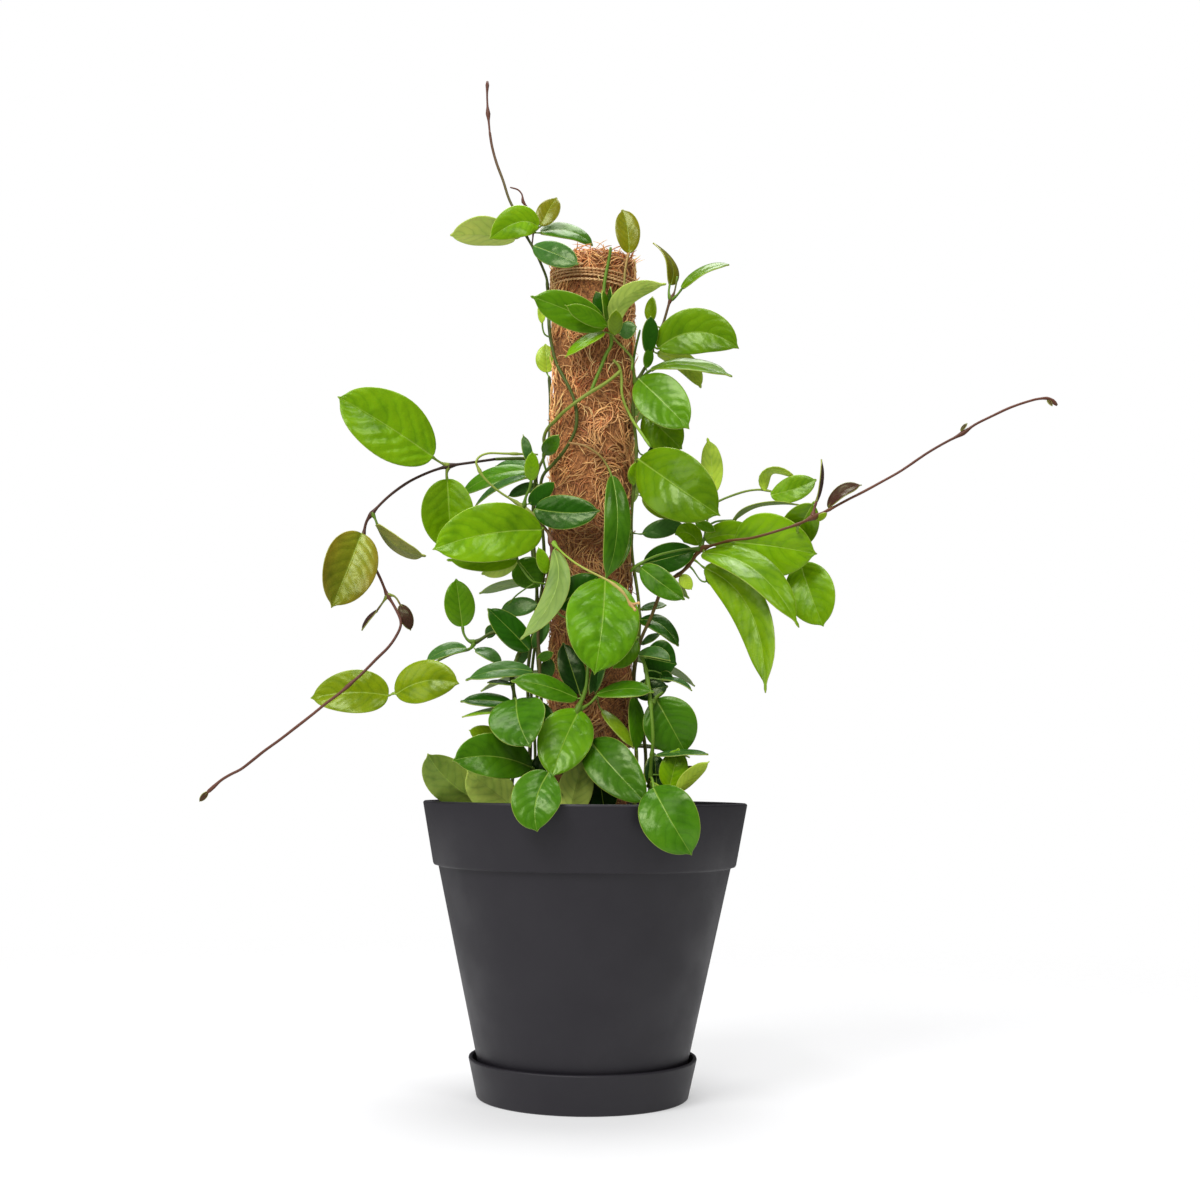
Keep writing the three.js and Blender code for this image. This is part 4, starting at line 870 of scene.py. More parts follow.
# Climbs the front of the pole and ends above it in the tall bare tendril
frontVines["vine_crown"] = {
    "stems": [
        (1.3, "dark", "dark", [(-30, 150, 4), (-29.5, 185, 3), (-29, 230, 2), (-29, 280, 0), (-29, 330, -3),
            (-28.5, 365, -8), (-26.5, 384, -15), hug(-21, 391), hug(-16, 398), hug(-12.5, 404.5),
            hug(-9.5, 412), hug(-8.8, 420), hug(-10.9, 432), hug(-16, 444), hug(-20.2, 453),
            hug(-23.3, 466), hug(-25, 478), hug(-25.8, 492), (-27, 505, -16)]),
        (1, "dark", "brown", [(-26.6, 500, -15.5), (-27.2, 506, -16), (-30.3, 514, -17), (-35, 524, -17),
            (-39.8, 532, -16), (-43.7, 541.5, -14), (-50.7, 554.4, -12), (-55, 567, -9), (-59, 577.4, -7),
            (-62, 588, -5), (-63.6, 597.5, -4)]),
        (0.75, "brown", "brown", [(-63.3, 595, -4), (-64.6, 608, -3), (-65.3, 618.5, -2),
            (-65.2, 628, -1)]),
        (0.6, "brown", "brown", [(-36.5, 527, -14), (-36, 536, -8), (-38.5, 548.5, -6), (-42.3, 553.5, -6),
            (-43, 558, -6), (-45.5, 561, -6), (-50.5, 562.5, -6)]),
        (0.8, "tan", "green", [hug(-12.5, 404.5), hug(-3.3, 403), hug(2.5, 400), hug(7.6, 396),
            hug(11.8, 390, 4), (14.6, 383, -33)]),
        (0.7, "green", "green", [hug(-23.8, 469.5), (-28, 471.5, -14), (-29.6, 477, -15), (-29.4, 484, -17),
            (-30.6, 489, -20)]),
        (0.8, "green", "green", [(-26, 386, -16), (-28, 393, -18), (-28.2, 399, -20)]),
    ],
    "leaves": [
        ((-47, 531, -13), None, (-86, 532.5, -18), 26, 130, "backlit"),
        ((-33, 538, -13), (-45, 541, -21), (-62, 531, -27), 20, 25, "bright"),
        ((-31, 539, -13), None, (-21.8, 555.8, -8), 14, 20, "tawny"),
        ((-31, 534.5, -10), (-14, 535.5, -5), (0.3, 527.5, -2), 16, 60, "mid"),
        ((-35, 526, -21), (-21, 521, -31), (-8.5, 515.5, -36), 16, 25, "grey"),
        ((-27.5, 397.5, -21), None, (-19, 409, -34), 9.5, 0, "mid"),
        ((14.5, 384, -33), (18, 352, -42), (11.5, 321, -38), 17, 15, "fresh"),
        ((-31, 489.5, -22), None, (-30, 478, -24), 5, 20, "pale"),
    ],
    "buds": [((-64.6, 608, -3), 3.2, 1.5), ((-65.2, 626, -1), 3.4, 1.2), ((-42.3, 553.5, -6), 2.2, 1.1)],
}
# Comes up behind the pole and twists across its front
frontVines["vine_twist"] = {
    "stems": [
        (1.4, "green", "olive", [(8, 150, 31), (8, 200, 31), (8, 250, 31), (6, 300, 31), (0, 345, 31),
            (-10, 375, 29), (-20, 393, 22), (-27.5, 404, 8), (-28, 409.5, -2), hug(-26.3, 413.5, 3.5),
            hug(-21.8, 418, 4), hug(-17.6, 422.5, 5), hug(-10, 428.5, 6), hug(0, 435.5, 5), hug(9, 441, 4),
            hug(15.5, 446), hug(19.6, 450)]),
        (1.3, "green", "green", [hug(1, 436.5, 4), hug(5.3, 445, 4), hug(8.2, 452, 4), hug(10.2, 459, 4),
            hug(13, 466, 4), hug(12.5, 471, 4), hug(12.3, 478, 4)]),
        (1.2, "green", "green", [hug(12.3, 476, 4), hug(10.5, 490, 4), hug(10.5, 502, 4), hug(11.3, 515),
            (12.3, 526, -28)]),
        (1.1, "olive", "light", [hug(14.6, 456), hug(18.3, 452), hug(19.8, 444.5), hug(20, 436.3),
            hug(21.7, 429.7), (24.7, 423.3, -19), (26.9, 419, -20), (31, 413, -26), (34.7, 407.6, -29),
            (38.3, 402.4, -30)]),
        (0.9, "olive", "light", [hug(12.6, 472, 4), hug(17.8, 466.5), hug(22, 462.3, 4), (26.2, 457, -20),
            (26, 450, -21)]),
        (0.9, "green", "tan", [hug(13, 474, 4), (17, 479, -32), (20.6, 500, -26), (21.3, 511, -25),
            (22.4, 518, -24), (23.7, 523.5, -23)]),
    ],
    "leaves": [
        ((9.5, 477, -33), None, (-35.6, 494.6, -44), 21, 12, "lit"),
        ((10.2, 477.3, -36), None, (-15, 489.5, -50), 10, 10, "lit"),
        ((9.9, 480.5, -36), None, (7.4, 498.5, -42), 9, 62, "lit"),
        ((9.2, 484.5, -31), None, (3.6, 498, -32), 10, -20, "dark"),
        ((12.8, 484, -33), None, (12.4, 501, -37), 9, -60, "dark"),
        ((16, 478, -33), (22, 495.5, -40), (45.6, 503.4, -50), 15, 140, "backlit"),
        ((18.6, 472.5, -30), None, (28.6, 476.8, -35), 11, 20, "grey"),
        ((15, 472, -37), None, (16, 487, -45), 9, 10, "olive"),
        ((9, 473, -31), None, (-14.6, 458, -37), 11, 50, "bright"),
        ((23.7, 522.5, -23), (22.6, 537, -23), (19.4, 548.6, -20), 15, 5, "tawny"),
    ],
    "buds": [((13, 474, -33), 3.6, 2.2)],
}
# Climbs the right side of the pole, with the large leaves beside it
frontVines["vine_right_high"] = {
    "stems": [
        (1.3, "olive", "dark", [(31, 150, 6), (30.5, 200, 3), (30.5, 250, 0), (30.5, 300, -3),
            (29, 340, -6), (27.4, 376, -9), (28.4, 398, -10), (28.4, 407, -10), (27.6, 418, -11),
            (27.4, 430, -12), (29, 440, -13), (32.5, 448, -14), (36.5, 455, -14), (38.7, 461.8, -14)]),
        (0.95, "dark", "brown", [(38, 460, -14), (39.7, 467, -14), (42.2, 472.5, -14), (44.9, 478, -14),
            (49, 492, -14), (50.2, 495, -14)]),
        (0.65, "brown", "green", [(49.9, 494, -14), (52, 498.5, -14), (53.8, 508.3, -14)]),
        (0.9, "green", "green", [(28.8, 440, -13), (26.9, 452, -15), (28, 461.5, -16), (29.7, 469.5, -17),
            (31, 475, -18)]),
        (0.8, "green", "green", [(49.8, 493.5, -14), (48.6, 498, -14), (49.3, 504.5, -12)]),
        (0.8, "green", "green", [(50, 494, -14), (53.5, 496.5, -14), (57.2, 501.5, -14)]),
        (0.8, "green", "green", [(30.5, 444, -13), (34.5, 447.5, -15), (39, 450.8, -16)]),
    ],
    "leaves": [
        ((49.3, 503.5, -12), (49.8, 516.5, -9), (39.3, 528.3, -4), 14, 65, "tawny"),
        ((56.8, 501, -14), (69, 511.8, -18), (84.8, 515.8, -22), 15, 66, "golden"),
        ((35.5, 461, -19), None, (37.5, 483, -22), 11, 30, "dark"),
        ((37.8, 480, -15), None, (38.5, 495.2, -17), 9, -30, "olive"),
        ((35, 451.5, -17), None, (37, 464, -19), 7, 30, "mid"),
        ((42.5, 463.5, -15), (66, 474, -23), (91, 465, -28), 28, 12, "golden"),
        ((42, 460.5, -10), (58, 455, -4), (68.7, 440.3, 2), 16, 135, "pale"),
        ((38, 450.5, -16), (60, 453.8, -27), (86.8, 447.2, -36), 18, 68, "golden"),
        ((31, 444, -17), None, (61, 415, -34), 29, 10, "lit"),
        ((35, 423, -2), None, (57, 402, -8), 25, 0, "bright"),
        ((36, 397, 6), None, (58, 398, 2), 17, 0, "dark"),
        ((32, 394, -22), (54.5, 378.5, -44), (80, 361.5, -52), 39, -2, "golden"),
        ((27.5, 379, -14), None, (29, 392.5, -18), 9, 20, "bright"),
        ((25.5, 348, -27), None, (15.5, 325, -35), 9, 0, "mid"),
        ((34, 348.5, -9), None, (58.5, 354.5, -14), 11.5, 20, "grey"),
        ((34, 371.5, -10), None, (50, 358, -12), 9, 0, "olive"),
    ],
    "buds": [((50.2, 494.6, -14), 2.6, 1.5), ((53.7, 507.5, -14), 2.2, 0.9), ((29.5, 442.5, -13), 3, 1.9)],
}
# Leaves the pole on the right and reaches out into the long tendril
frontVines["vine_right_reach"] = {
    "stems": [
        (1.3, "dark", "umber", [(34, 150, -16), (35.5, 190, -20), (35.5, 215, -22), (33.5, 240, -21),
            (31.5, 256, -18), (31.5, 270, -15), (32.5, 281, -13), (34.6, 288, -12), (37.7, 295.3, -12),
            (41.1, 304.4, -12), (44.5, 312.7, -12), (49, 319, -13), (57.8, 324.5, -16), (62.6, 329.2, -18),
            (66.6, 335.1, -20), (70, 339.3, -22)]),
        (0.95, "umber", "brown", [(69, 338.5, -21.5), (72.3, 340.2, -23), (80.5, 342.8, -31),
            (88.6, 345, -39), (100.2, 346.4, -48), (109.3, 348.7, -54), (121.7, 352.6, -57),
            (129.6, 355.3, -57), (139.6, 360, -56), (147.7, 363.8, -55), (161.2, 371.2, -54),
            (170.3, 375.9, -53), (182, 382.4, -52)]),
        (0.92, "brown", "brown", [(180, 381.3, -52), (193, 388.8, -51), (210, 400.5, -50),
            (219.6, 406.3, -50), (232, 413.1, -50), (239.2, 418.3, -49), (250.5, 424.1, -48),
            (260, 428.7, -47), (270, 432.4, -46), (279, 434.8, -45), (285.5, 434.7, -44),
            (290, 430.8, -43)]),
        (0.95, "green", "green", [(69.5, 339.3, -22), (64, 339.6, -24), (54, 338, -28), (43.4, 335.2, -31),
            (35.3, 331.7, -32), (29.5, 328, -31), (26.5, 325, -29)]),
        (0.85, "green", "olive", [(70, 339.5, -22), (72.2, 347, -18), (74, 358, -15), (76.6, 366.7, -15),
            (82, 369.8, -16), (88.3, 372.5, -17), (96.6, 375.3, -19), (102.3, 376.4, -21),
            (108.2, 376.6, -23), (113.6, 375.6, -26)]),
        (0.8, "green", "green", [(73.3, 353, -17), (79, 356.5, -18), (91, 357.5, -21)]),
        (0.8, "brown", "brown", [(139.3, 359.8, -56), (140, 364.5, -55), (141.6, 370, -55)]),
    ],
    "leaves": [
        ((76, 373, -15), (76.4, 391, -14), (73.7, 407.3, -12), 13.5, 175, "pale"),
        ((109.4, 376, -24), (112.8, 387.6, -29), (128, 384.3, -32), 11, 112, "pale"),
        ((113.5, 373.5, -27), (127, 377, -34), (140.5, 382.8, -38), 16, 20, "bright"),
        ((90.5, 357.5, -21), (106, 366.7, -27), (129.5, 367.5, -34), 14, 100, "olive"),
        ((91, 344, -33), (114, 342, -37), (140.5, 337.5, -43), 39, -6, "bright"),
        ((139, 368, -46), None, (124, 341, -26), 22, 0, "golden"),
        ((132, 331, -24), None, (146, 293.5, -34), 30, -8, "bright"),
        ((72, 336.5, -26), (103, 327, -57), (130, 294, -68), 24, 34, "bright"),
        ((73, 327.5, -20), (101, 302, -46), (111, 254, -64), 24, -22, "sunny"),
        ((74, 319.5, -10), None, (91, 330, -15), 14, 0, "dark"),
        ((69, 342, -19), (62.5, 349, -17), (54.5, 348.5, -15), 13, 10, "bright"),
        ((73, 345, -18), (90, 348.5, -26), (110, 343, -32), 17, 5, "bright"),
        ((67, 355.5, -22), None, (78.5, 350.5, -26), 7, 30, "lit"),
        ((35, 330, -16), None, (66, 338, -22), 18, 0, "dark"),
        ((33.5, 327.5, -30), None, (59.5, 308.5, -42), 16, -10, "mid"),
        ((58, 323, -14), None, (64.5, 314.5, -15), 8, 0, "pale"),
        ((30, 283, -32), None, (17, 265.5, -36), 15, 0, "lit"),
        ((141.5, 369.5, -55), None, (144.3, 395, -53), 7, 73, "bronze"),
        ((149, 366, -53), (157, 375.3, -55), (168.6, 380, -55), 10, 52, "bronze"),
        ((141.5, 358, -55), None, (148, 362.5, -58), 4, 0, "olive"),
        ((230.5, 414.5, -50), None, (234.4, 419, -52), 2.4, 30, "bronze"),
        ((284, 434, -44), None, (287, 430.5, -46), 2.4, 30, "bronze"),
    ],
    "buds": [((139.6, 360, -56), 3.2, 2), ((232, 413.1, -50), 3.8, 1.5), ((288, 433, -43.5), 3, 1.3),
        ((71, 340, -22.5), 4, 2.1)],
}
# Arches out to the left and hangs down to its trailing tip
frontVines["vine_left_arch"] = {
    "stems": [
        (1.3, "dark", "dark", [(-37, 150, -2), (-36, 200, -4), (-35, 240, -5), (-34, 280, -6),
            (-33, 320, -8), (-33, 350, -10), (-33, 372, -12), (-33, 385, -15), (-34, 391.5, -18),
            (-38.6, 394.1, -20), (-49.7, 394.3, -22), (-59.6, 393.8, -24)]),
        (1, "black", "brown", [(-58, 393.9, -24), (-71.7, 391.8, -26), (-86, 389.5, -28),
            (-93.7, 387.3, -29), (-100.3, 384.8, -30), (-111.2, 379.4, -31), (-122.2, 371.5, -32),
            (-128.7, 365.4, -32), (-134.1, 359.3, -32), (-137.4, 354.3, -32), (-139, 347, -32),
            (-140, 341.5, -32), (-137.7, 336, -32), (-132.6, 327.2, -32), (-128.1, 318.4, -32),
            (-124, 308.4, -32)]),
        (1.05, "brown", "brown", [(-124.8, 310, -32), (-119.6, 302, -33), (-115.8, 294, -35),
            (-115.6, 289.7, -36), (-118.3, 283.5, -38), (-122.7, 277, -40), (-130.4, 269.2, -43),
            (-139.1, 260.2, -46), (-146.3, 253.7, -47), (-152.3, 248.3, -48), (-161.1, 241.6, -48),
            (-169.9, 234.3, -48), (-179.8, 226.4, -48), (-189.7, 218.6, -48), (-199.6, 211.3, -48),
            (-207.3, 205, -48), (-213.9, 199.9, -48), (-220.5, 196.5, -48), (-226, 193, -48),
            (-230.4, 189, -48), (-234.7, 185.1, -48)]),
        (0.85, "olive", "green", [(-86.5, 389.5, -28), (-92, 391.5, -30), (-98.5, 396, -34)]),
        (0.85, "olive", "green", [(-86.8, 389.5, -28), (-88, 385, -27), (-87.5, 379.5, -26)]),
        (0.8, "green", "green", [(-134, 359.5, -32), (-132, 356, -33), (-130, 350.5, -33.5)]),
        (0.7, "olive", "brown", [(-124, 308.6, -32), (-127, 304, -32.5), (-130.6, 298.8, -33)]),
        (0.7, "olive", "brown", [(-123.8, 309, -32), (-119.5, 308.2, -31), (-115.3, 302, -31)]),
    ],
    "leaves": [
        ((-97, 395, -34), None, (-154, 430.5, -54), 40, 19, "bright"),
        ((-87.5, 381, -26), None, (-84, 338, -20), 32, -8, "bright", 32),
        ((-130.8, 352.5, -33), (-118, 339.5, -37), (-101.5, 333.5, -40), 15, 125, "dusty"),
        ((-140.6, 346.5, -33), None, (-158, 302.3, -46), 32, -4, "bronzed", 27),
        ((-130.3, 299.3, -33), None, (-139.4, 287.2, -36), 6, 66, "bronze"),
        ((-115.6, 303, -31), None, (-109.5, 287.6, -32), 9, 25, "bronze"),
        ((-234, 186, -48), None, (-239, 180, -48), 3.6, 0, "bronze"),
    ],
    "buds": [((-86.5, 389.5, -28), 3.2, 1.8), ((-134.3, 359.2, -32), 2.8, 1.7),
        ((-139.5, 345, -32), 3, 1.6), ((-124, 308.6, -32), 2.6, 1.5), ((-147.5, 252.6, -47), 3.4, 1.3),
        ((-231, 188.6, -48), 3.2, 1.2), ((-236.5, 183, -48), 3.2, 1.5)],
}
# Stays close on the left, with the loop and the flower stalk
frontVines["vine_left_mid"] = {
    "stems": [
        (1.3, "dark", "brown", [(-34, 150, -38), (-33, 185, -42), (-33, 215, -42), (-32, 240, -40),
            (-31, 265, -38), (-30.5, 285, -37), (-28, 300, -36), (-25.8, 311.6, -35), (-23.4, 322.5, -34),
            (-22.4, 331, -34), (-22.2, 338, -33), (-21.5, 343, -33)]),
        (1.1, "brown", "olive", [(-22, 341, -33), (-24.5, 348.5, -31), (-29, 353.5, -30),
            (-33.7, 359.6, -29), (-40, 364.2, -28)]),
        (0.85, "olive", "olive", [(-39.5, 364, -28), (-46.6, 368.4, -28), (-53.3, 372.4, -29),
            (-60, 377.5, -30), (-65.8, 383.5, -31), (-68.3, 388, -31), (-69.8, 392, -31.5),
            (-67.6, 395.4, -31), (-62.7, 397.4, -30), (-52, 397.4, -28), (-40, 397.2, -25),
            (-31.5, 397, -23.5)]),
        (1, "green", "green", [(-40, 363.5, -28), (-38.8, 370.5, -30), (-36.4, 376.3, -31),
            (-35.3, 382, -32)]),
        (0.75, "light", "bud", [(-21.5, 342, -33), (-19, 339.6, -36), (-14.4, 335.2, -46), (-7, 329.6, -56),
            (0.4, 325.4, -62), (7.9, 321.8, -67), (14.6, 318.2, -71), (20.6, 313.6, -73), (24, 309.6, -73),
            (26.4, 305.4, -72), (30, 303.8, -71)]),
        (0.75, "green", "green", [(-24.7, 316.5, -34.5), (-31, 317.5, -38), (-34, 318.3, -39),
            (-39.8, 324.8, -39), (-43.2, 330.5, -38), (-44.4, 336, -36)]),
        (0.6, "green", "green", [(-32, 317.7, -38), (-38, 314, -38), (-44.6, 309, -36), (-49, 303.5, -33)]),
        (0.5, "tan", "bud", [(26.5, 305, -72), (28.6, 302.8, -73.5), (30, 300.8, -74.5)]),
        (0.5, "tan", "bud", [(28, 304.4, -72), (30.6, 305.4, -73), (32.6, 305.6, -73.5)]),
    ],
    "leaves": [
        ((-29.5, 350, -33), (-62, 347.5, -52), (-94, 338.3, -58), 35.5, 12, "bright"),
        ((-43.8, 332, -37), (-64, 331, -40), (-86, 331, -42), 15, 20, "bright"),
        ((-43.5, 334, -34), None, (-65, 322.8, -36), 14, 195, "backlit"),
        ((-43, 331, -22), None, (-30, 315.5, -23), 20, 0, "mid"),
        ((-25.8, 323.5, -35), None, (-30.5, 339, -38), 8, 20, "bright"),
        ((-21, 337.5, -36), (-19.8, 312, -47), (-39.8, 283.5, -54), 15, 205, "mist"),
        ((-31, 304, -30), None, (-53, 300.5, -27), 12, 20, "grey"),
        ((-24, 293, -33), None, (-33.5, 277, -31), 8, 10, "grey"),
        ((-32.5, 363.3, -30), (-13, 361, -39), (6, 362.3, -44), 21, 10, "dark"),
        ((-36.5, 366.5, -29), None, (-21.5, 379.5, -31), 10, 0, "dark"),
        ((-38, 383, -24), (-56, 377.5, -20), (-70, 364.5, -16), 11, 68, "grey"),
        ((-35.5, 381, -32), None, (-35, 398.5, -37), 9, 0, "bright"),
        ((-36.8, 391.5, -32), None, (-40.8, 408.8, -31), 6.5, 20, "grey"),
        ((-30.5, 270, -38), None, (-21, 274.3, -41), 6, 0, "mid"),
        ((-23, 270.5, -34), None, (-25.5, 257, -33), 9, 0, "grey"),
    ],
    "buds": [((-40.3, 364.6, -28), 3.2, 1.9), ((-67.6, 386.5, -31), 2.2, 1.3),
        ((-44.5, 367.4, -28), 2.4, 1.4), ((-46, 398.2, -26.5), 2.4, 1.2), ((-21.8, 343.2, -33), 4, 2.4),
        ((17, 317, -72), 3, 1.1), ((20.8, 313, -73.5), 3, 1.15), ((27.2, 304.5, -72), 2.4, 1.3),
        ((30.2, 303.4, -71), 2.2, 1.3), ((29.8, 301.2, -74.3), 1.4, 1.1), ((32.2, 305.5, -73.4), 1.4, 1.1)],
}
# Climbs the left side of the pole behind the others
frontVines["vine_left_back"] = {
    "stems": [
        (1.2, "dark", "dark", [(-33, 150, 9), (-32.5, 200, 7), (-32.5, 250, 6), (-32.5, 300, 6),
            (-33, 340, 7), (-33, 372, 7), (-33, 386, 4), (-29, 395, 7), (-25, 408, 12), (-24, 430, 13),
            (-25, 445, 14)]),
    ],
    "leaves": [
        ((-36, 386.5, -6), (-58, 383.6, -8), (-79.4, 371.2, -2), 15, 52, "mid"),
        ((-34, 389, 0), None, (-57, 389.5, 8), 12, 50, "grey"),
        ((-32, 377, -2), None, (-49, 371.3, 2), 10, 45, "grey"),
        ((-26.5, 448, 16), None, (-27.5, 465, 16), 13.5, 0, "pale"),
    ],
    "buds": [((-32.4, 388, 2), 3, 1.8)],
}
# Stands at the front, with the large glossy leaf
frontVines["vine_front"] = {
    "stems": [
        (1.3, "green", "green", [(-14, 150, -42), (-14, 185, -46), (-12, 205, -48), (-8, 225, -51),
            (-4.4, 239, -53), (-1.6, 250, -47), (-1, 265, -40), (0, 280, -35), (4, 296, -33), (8, 310, -33),
            (10.8, 321, -36)]),
        (0.9, "green", "green", [(-4.5, 239, -52), (1.9, 242.8, -49), (7.5, 248.8, -46)]),
        (0.95, "green", "green", [(-14, 184, -46), (-16, 188.5, -66), (-19.5, 194, -84),
            (-23, 199.3, -95)]),
    ],
    "leaves": [
        ((10.8, 319.5, -37), (9.3, 293, -56), (5.3, 263, -62), 44, 4, "lit"),
        ((-4.5, 238, -53), (-13.3, 219.5, -67), (-20.5, 198.3, -76), 31.5, 5, "lit"),
        ((-6, 246, -49), (-26, 253.5, -57), (-45.5, 256.3, -62), 16, 35, "mid"),
        ((6.8, 248.5, -46), (24, 252, -52), (41, 250.6, -56), 14, 52, "mid"),
        ((-4, 249, -35), None, (-14.5, 279.5, -31), 16, 0, "deep"),
        ((-18, 303, -34), None, (6, 321.5, -31), 20, 0, "dark"),
        ((5.5, 266, -34), None, (2, 249, -38), 7, 45, "grey"),
        ((11, 266, -34), None, (5.5, 249.5, -36), 6.5, 40, "grey"),
        ((10, 238.5, -36), None, (29, 216, -46), 10, 40, "olive"),
        ((3.5, 219, -58), (17.5, 202.5, -74), (36.5, 182.8, -82), 28, 5, "fresh"),
        ((-23, 199.5, -95), (-30.5, 182.5, -104), (-29.8, 164.5, -108), 28, 0, "fresh"),
        ((-10, 173, -56), None, (-1.5, 208, -58), 21, 188, "backlit"),
        ((12, 176, -48), None, (8, 202, -52), 19, 0, "deep"),
    ],
    "buds": [((-4.4, 239.4, -53), 3.6, 2.2)],
}
# Spreads low on the left over the pot
frontVines["vine_low_left"] = {
    "stems": [
        (1.3, "dark", "dark", [(-46, 150, -22), (-45, 190, -26), (-45, 220, -34), (-44.6, 238, -42),
            (-44.6, 250, -46), (-45, 257, -47), (-43.5, 266, -43), (-40, 276, -37), (-44, 283, -31),
            (-52, 287, -28), (-60, 285.8, -29), (-66, 282, -31), (-69.7, 280, -32)]),
        (0.9, "green", "green", [(-69, 280.2, -32), (-73.5, 281.3, -32), (-76.4, 285.5, -32),
            (-77.3, 291, -32)]),
        (0.9, "green", "olive", [(-69.7, 280, -32), (-72, 276.5, -31), (-84, 272.5, -26), (-98, 265, -25),
            (-110, 255, -27), (-119.5, 248, -31)]),
    ],
    "leaves": [
        ((-122.8, 246.6, -31), (-145, 248.2, -34), (-169.3, 244.8, -31), 27.5, 15, "lime"),
        ((-117.6, 247.6, -33), (-100, 255.8, -42), (-80.3, 254.8, -46), 26, 15, "lime"),
        ((-74.8, 276, -33), (-86.5, 275, -36), (-98.8, 268.5, -38), 13, 52, "grey"),
        ((-68.6, 275.6, -33), (-61, 273, -36), (-53.4, 266.8, -38), 12, 55, "grey"),
        ((-77.3, 290, -32), None, (-81.4, 318.5, -35), 18.5, 0, "lit"),
        ((-36, 276, -41), None, (-61, 300.4, -52), 17.5, 15, "dark"),
        ((-34, 262, -46), (-52, 263.2, -50), (-73.7, 257, -52), 15, 50, "grey"),
        ((-46, 254.2, -49), None, (-61, 255.3, -52), 8, 70, "dark"),
        ((-45.5, 242, -46), (-61, 244, -50), (-77, 243.4, -52), 13, 50, "dark"),
        ((-48, 238.5, -45), None, (-76, 234, -53), 10, 62, "bright"),
        ((-43.3, 244, -52), (-41.5, 231, -70), (-35, 216.5, -80), 34, 0, "fresh"),
        ((-36, 241, -44), None, (-20, 230.5, -50), 14, 0, "dark"),
        ((-54, 221, -42), None, (-72, 225.5, -48), 11, 0, "olive"),
        ((-34, 203, -56), (-57, 209.5, -70), (-81, 207, -78), 27, 12, "mid"),
        ((-64, 181.5, -36), (-84, 193.5, -42), (-97.3, 209.6, -48), 26, 170, "veiled"),
        ((-43, 177, -48), None, (-72.5, 200, -60), 26, 188, "backlit"),
        ((-31, 197, -50), None, (-26, 212, -54), 10, 0, "deep"),
        ((-58, 291, -26), None, (-61.5, 283, -24), 7, 0, "grey"),
        ((-37.5, 277, -34), None, (-43.5, 266, -31), 7, 0, "grey"),
    ],
    "buds": [((-70, 280, -32), 3, 1.7), ((-45, 257.5, -47), 2.8, 1.8)],
}
# Stands low on the right, with the leaf that hangs over the rim
frontVines["vine_low_right"] = {
    "stems": [
        (1.3, "green", "green", [(40, 150, -42), (39, 190, -46), (38.4, 201, -48), (38.8, 209.6, -51),
            (40.6, 220.5, -54), (41.2, 235, -54), (40.9, 244, -52), (40.2, 251, -48), (38.5, 259, -44),
            (36, 268, -41), (33, 274.5, -39)]),
        (0.9, "green", "green", [(40.9, 243.5, -52), (43.5, 247.5, -49), (47.5, 250.5, -46)]),
        (0.95, "green", "green", [(38.9, 192, -46), (40, 197, -66), (41.5, 196, -84), (42.5, 190.5, -91)]),
    ],
    "leaves": [
        ((36, 272, -32), None, (55.3, 268, -34), 25, 0, "dark"),
        ((32.5, 274, -43), (42, 275, -49), (51.3, 270.3, -54), 10, 42, "grey"),
        ((46, 262, -36), None, (53.5, 257.8, -38), 7, 0, "dark"),
        ((47, 258.3, -40), (57, 257, -42), (65, 251.9, -44), 8, 68, "grey"),
        ((30, 250, -38), None, (50, 254, -41), 14, 10, "deep"),
        ((43.5, 246, -46), None, (61.5, 214, -46), 32, 0, "fresh"),
        ((29, 247, -38), None, (31, 214, -42), 12, 38, "mid"),
        ((42.5, 190.5, -91), (52.3, 172.5, -103), (65.5, 151, -103), 32.5, 0, "fresh"),
        ((52, 191, -52), None, (57.5, 215, -52), 17, 0, "bright"),
        ((44, 211, -52), (60, 213, -55), (75, 212.2, -58), 14, 73, "grey"),
        ((57, 189, -58), None, (76, 207.3, -62), 11, 140, "pale"),
        ((55, 198.5, -48), None, (69, 203.5, -48), 7, 0, "deep"),
        ((44.5, 190, -46), None, (42.5, 212, -44), 14, 0, "deep"),
    ],
    "buds": [((40.9, 244, -52), 3, 1.9)],
}
# Stands behind the right side, short
frontVines["vine_right_mid"] = {
    "stems": [
        (1.2, "green", "green", [(30, 150, 22), (30, 200, 20), (30, 250, 14), (30.5, 275, 6),
            (31.5, 290, 3), (32.5, 300, 2)]),
    ],
    "leaves": [
        ((33, 294.5, -4), (45, 292.5, -10), (56.3, 279.8, -14), 14, 40, "dark"),
        ((34, 280, 4), None, (45, 286.3, 2), 9, 62, "grey"),
        ((33.5, 301.5, 0), None, (48.6, 304.3, 0), 9, 62, "grey"),
    ],
    "buds": [((32.2, 296, 2), 2.8, 1.7)],
}


def unit(vector):
    return vector / (np.linalg.norm(vector) + 1e-12)


# A smooth line through the points
def smoothLine(points, step):
    padded = [2 * points[0] - points[1], *points, 2 * points[-1] - points[-2]]
    line = []
    for a, b, c, d in zip(padded, padded[1:], padded[2:], padded[3:]):
        first, middle, last = (max(np.linalg.norm(q - p), 1e-3) ** 0.5 for p, q in ((a, b), (b, c), (c, d)))
        leave = ((b - a) / first - (c - a) / (first + middle) + (c - b) / middle) * middle
        arrive = ((c - b) / middle - (d - b) / (middle + last) + (d - c) / last) * middle
        count = max(int(np.linalg.norm(c - b) / step), 3)
        for share in np.arange(count) / count:
            square, cube = share ** 2, share ** 3
            line.append(
                (2 * cube - 3 * square + 1) * b + (cube - 2 * square + share) * leave
                + (3 * square - 2 * cube) * c + (cube - square) * arrive
            )
    line.append(points[-1])
    return np.array(line)


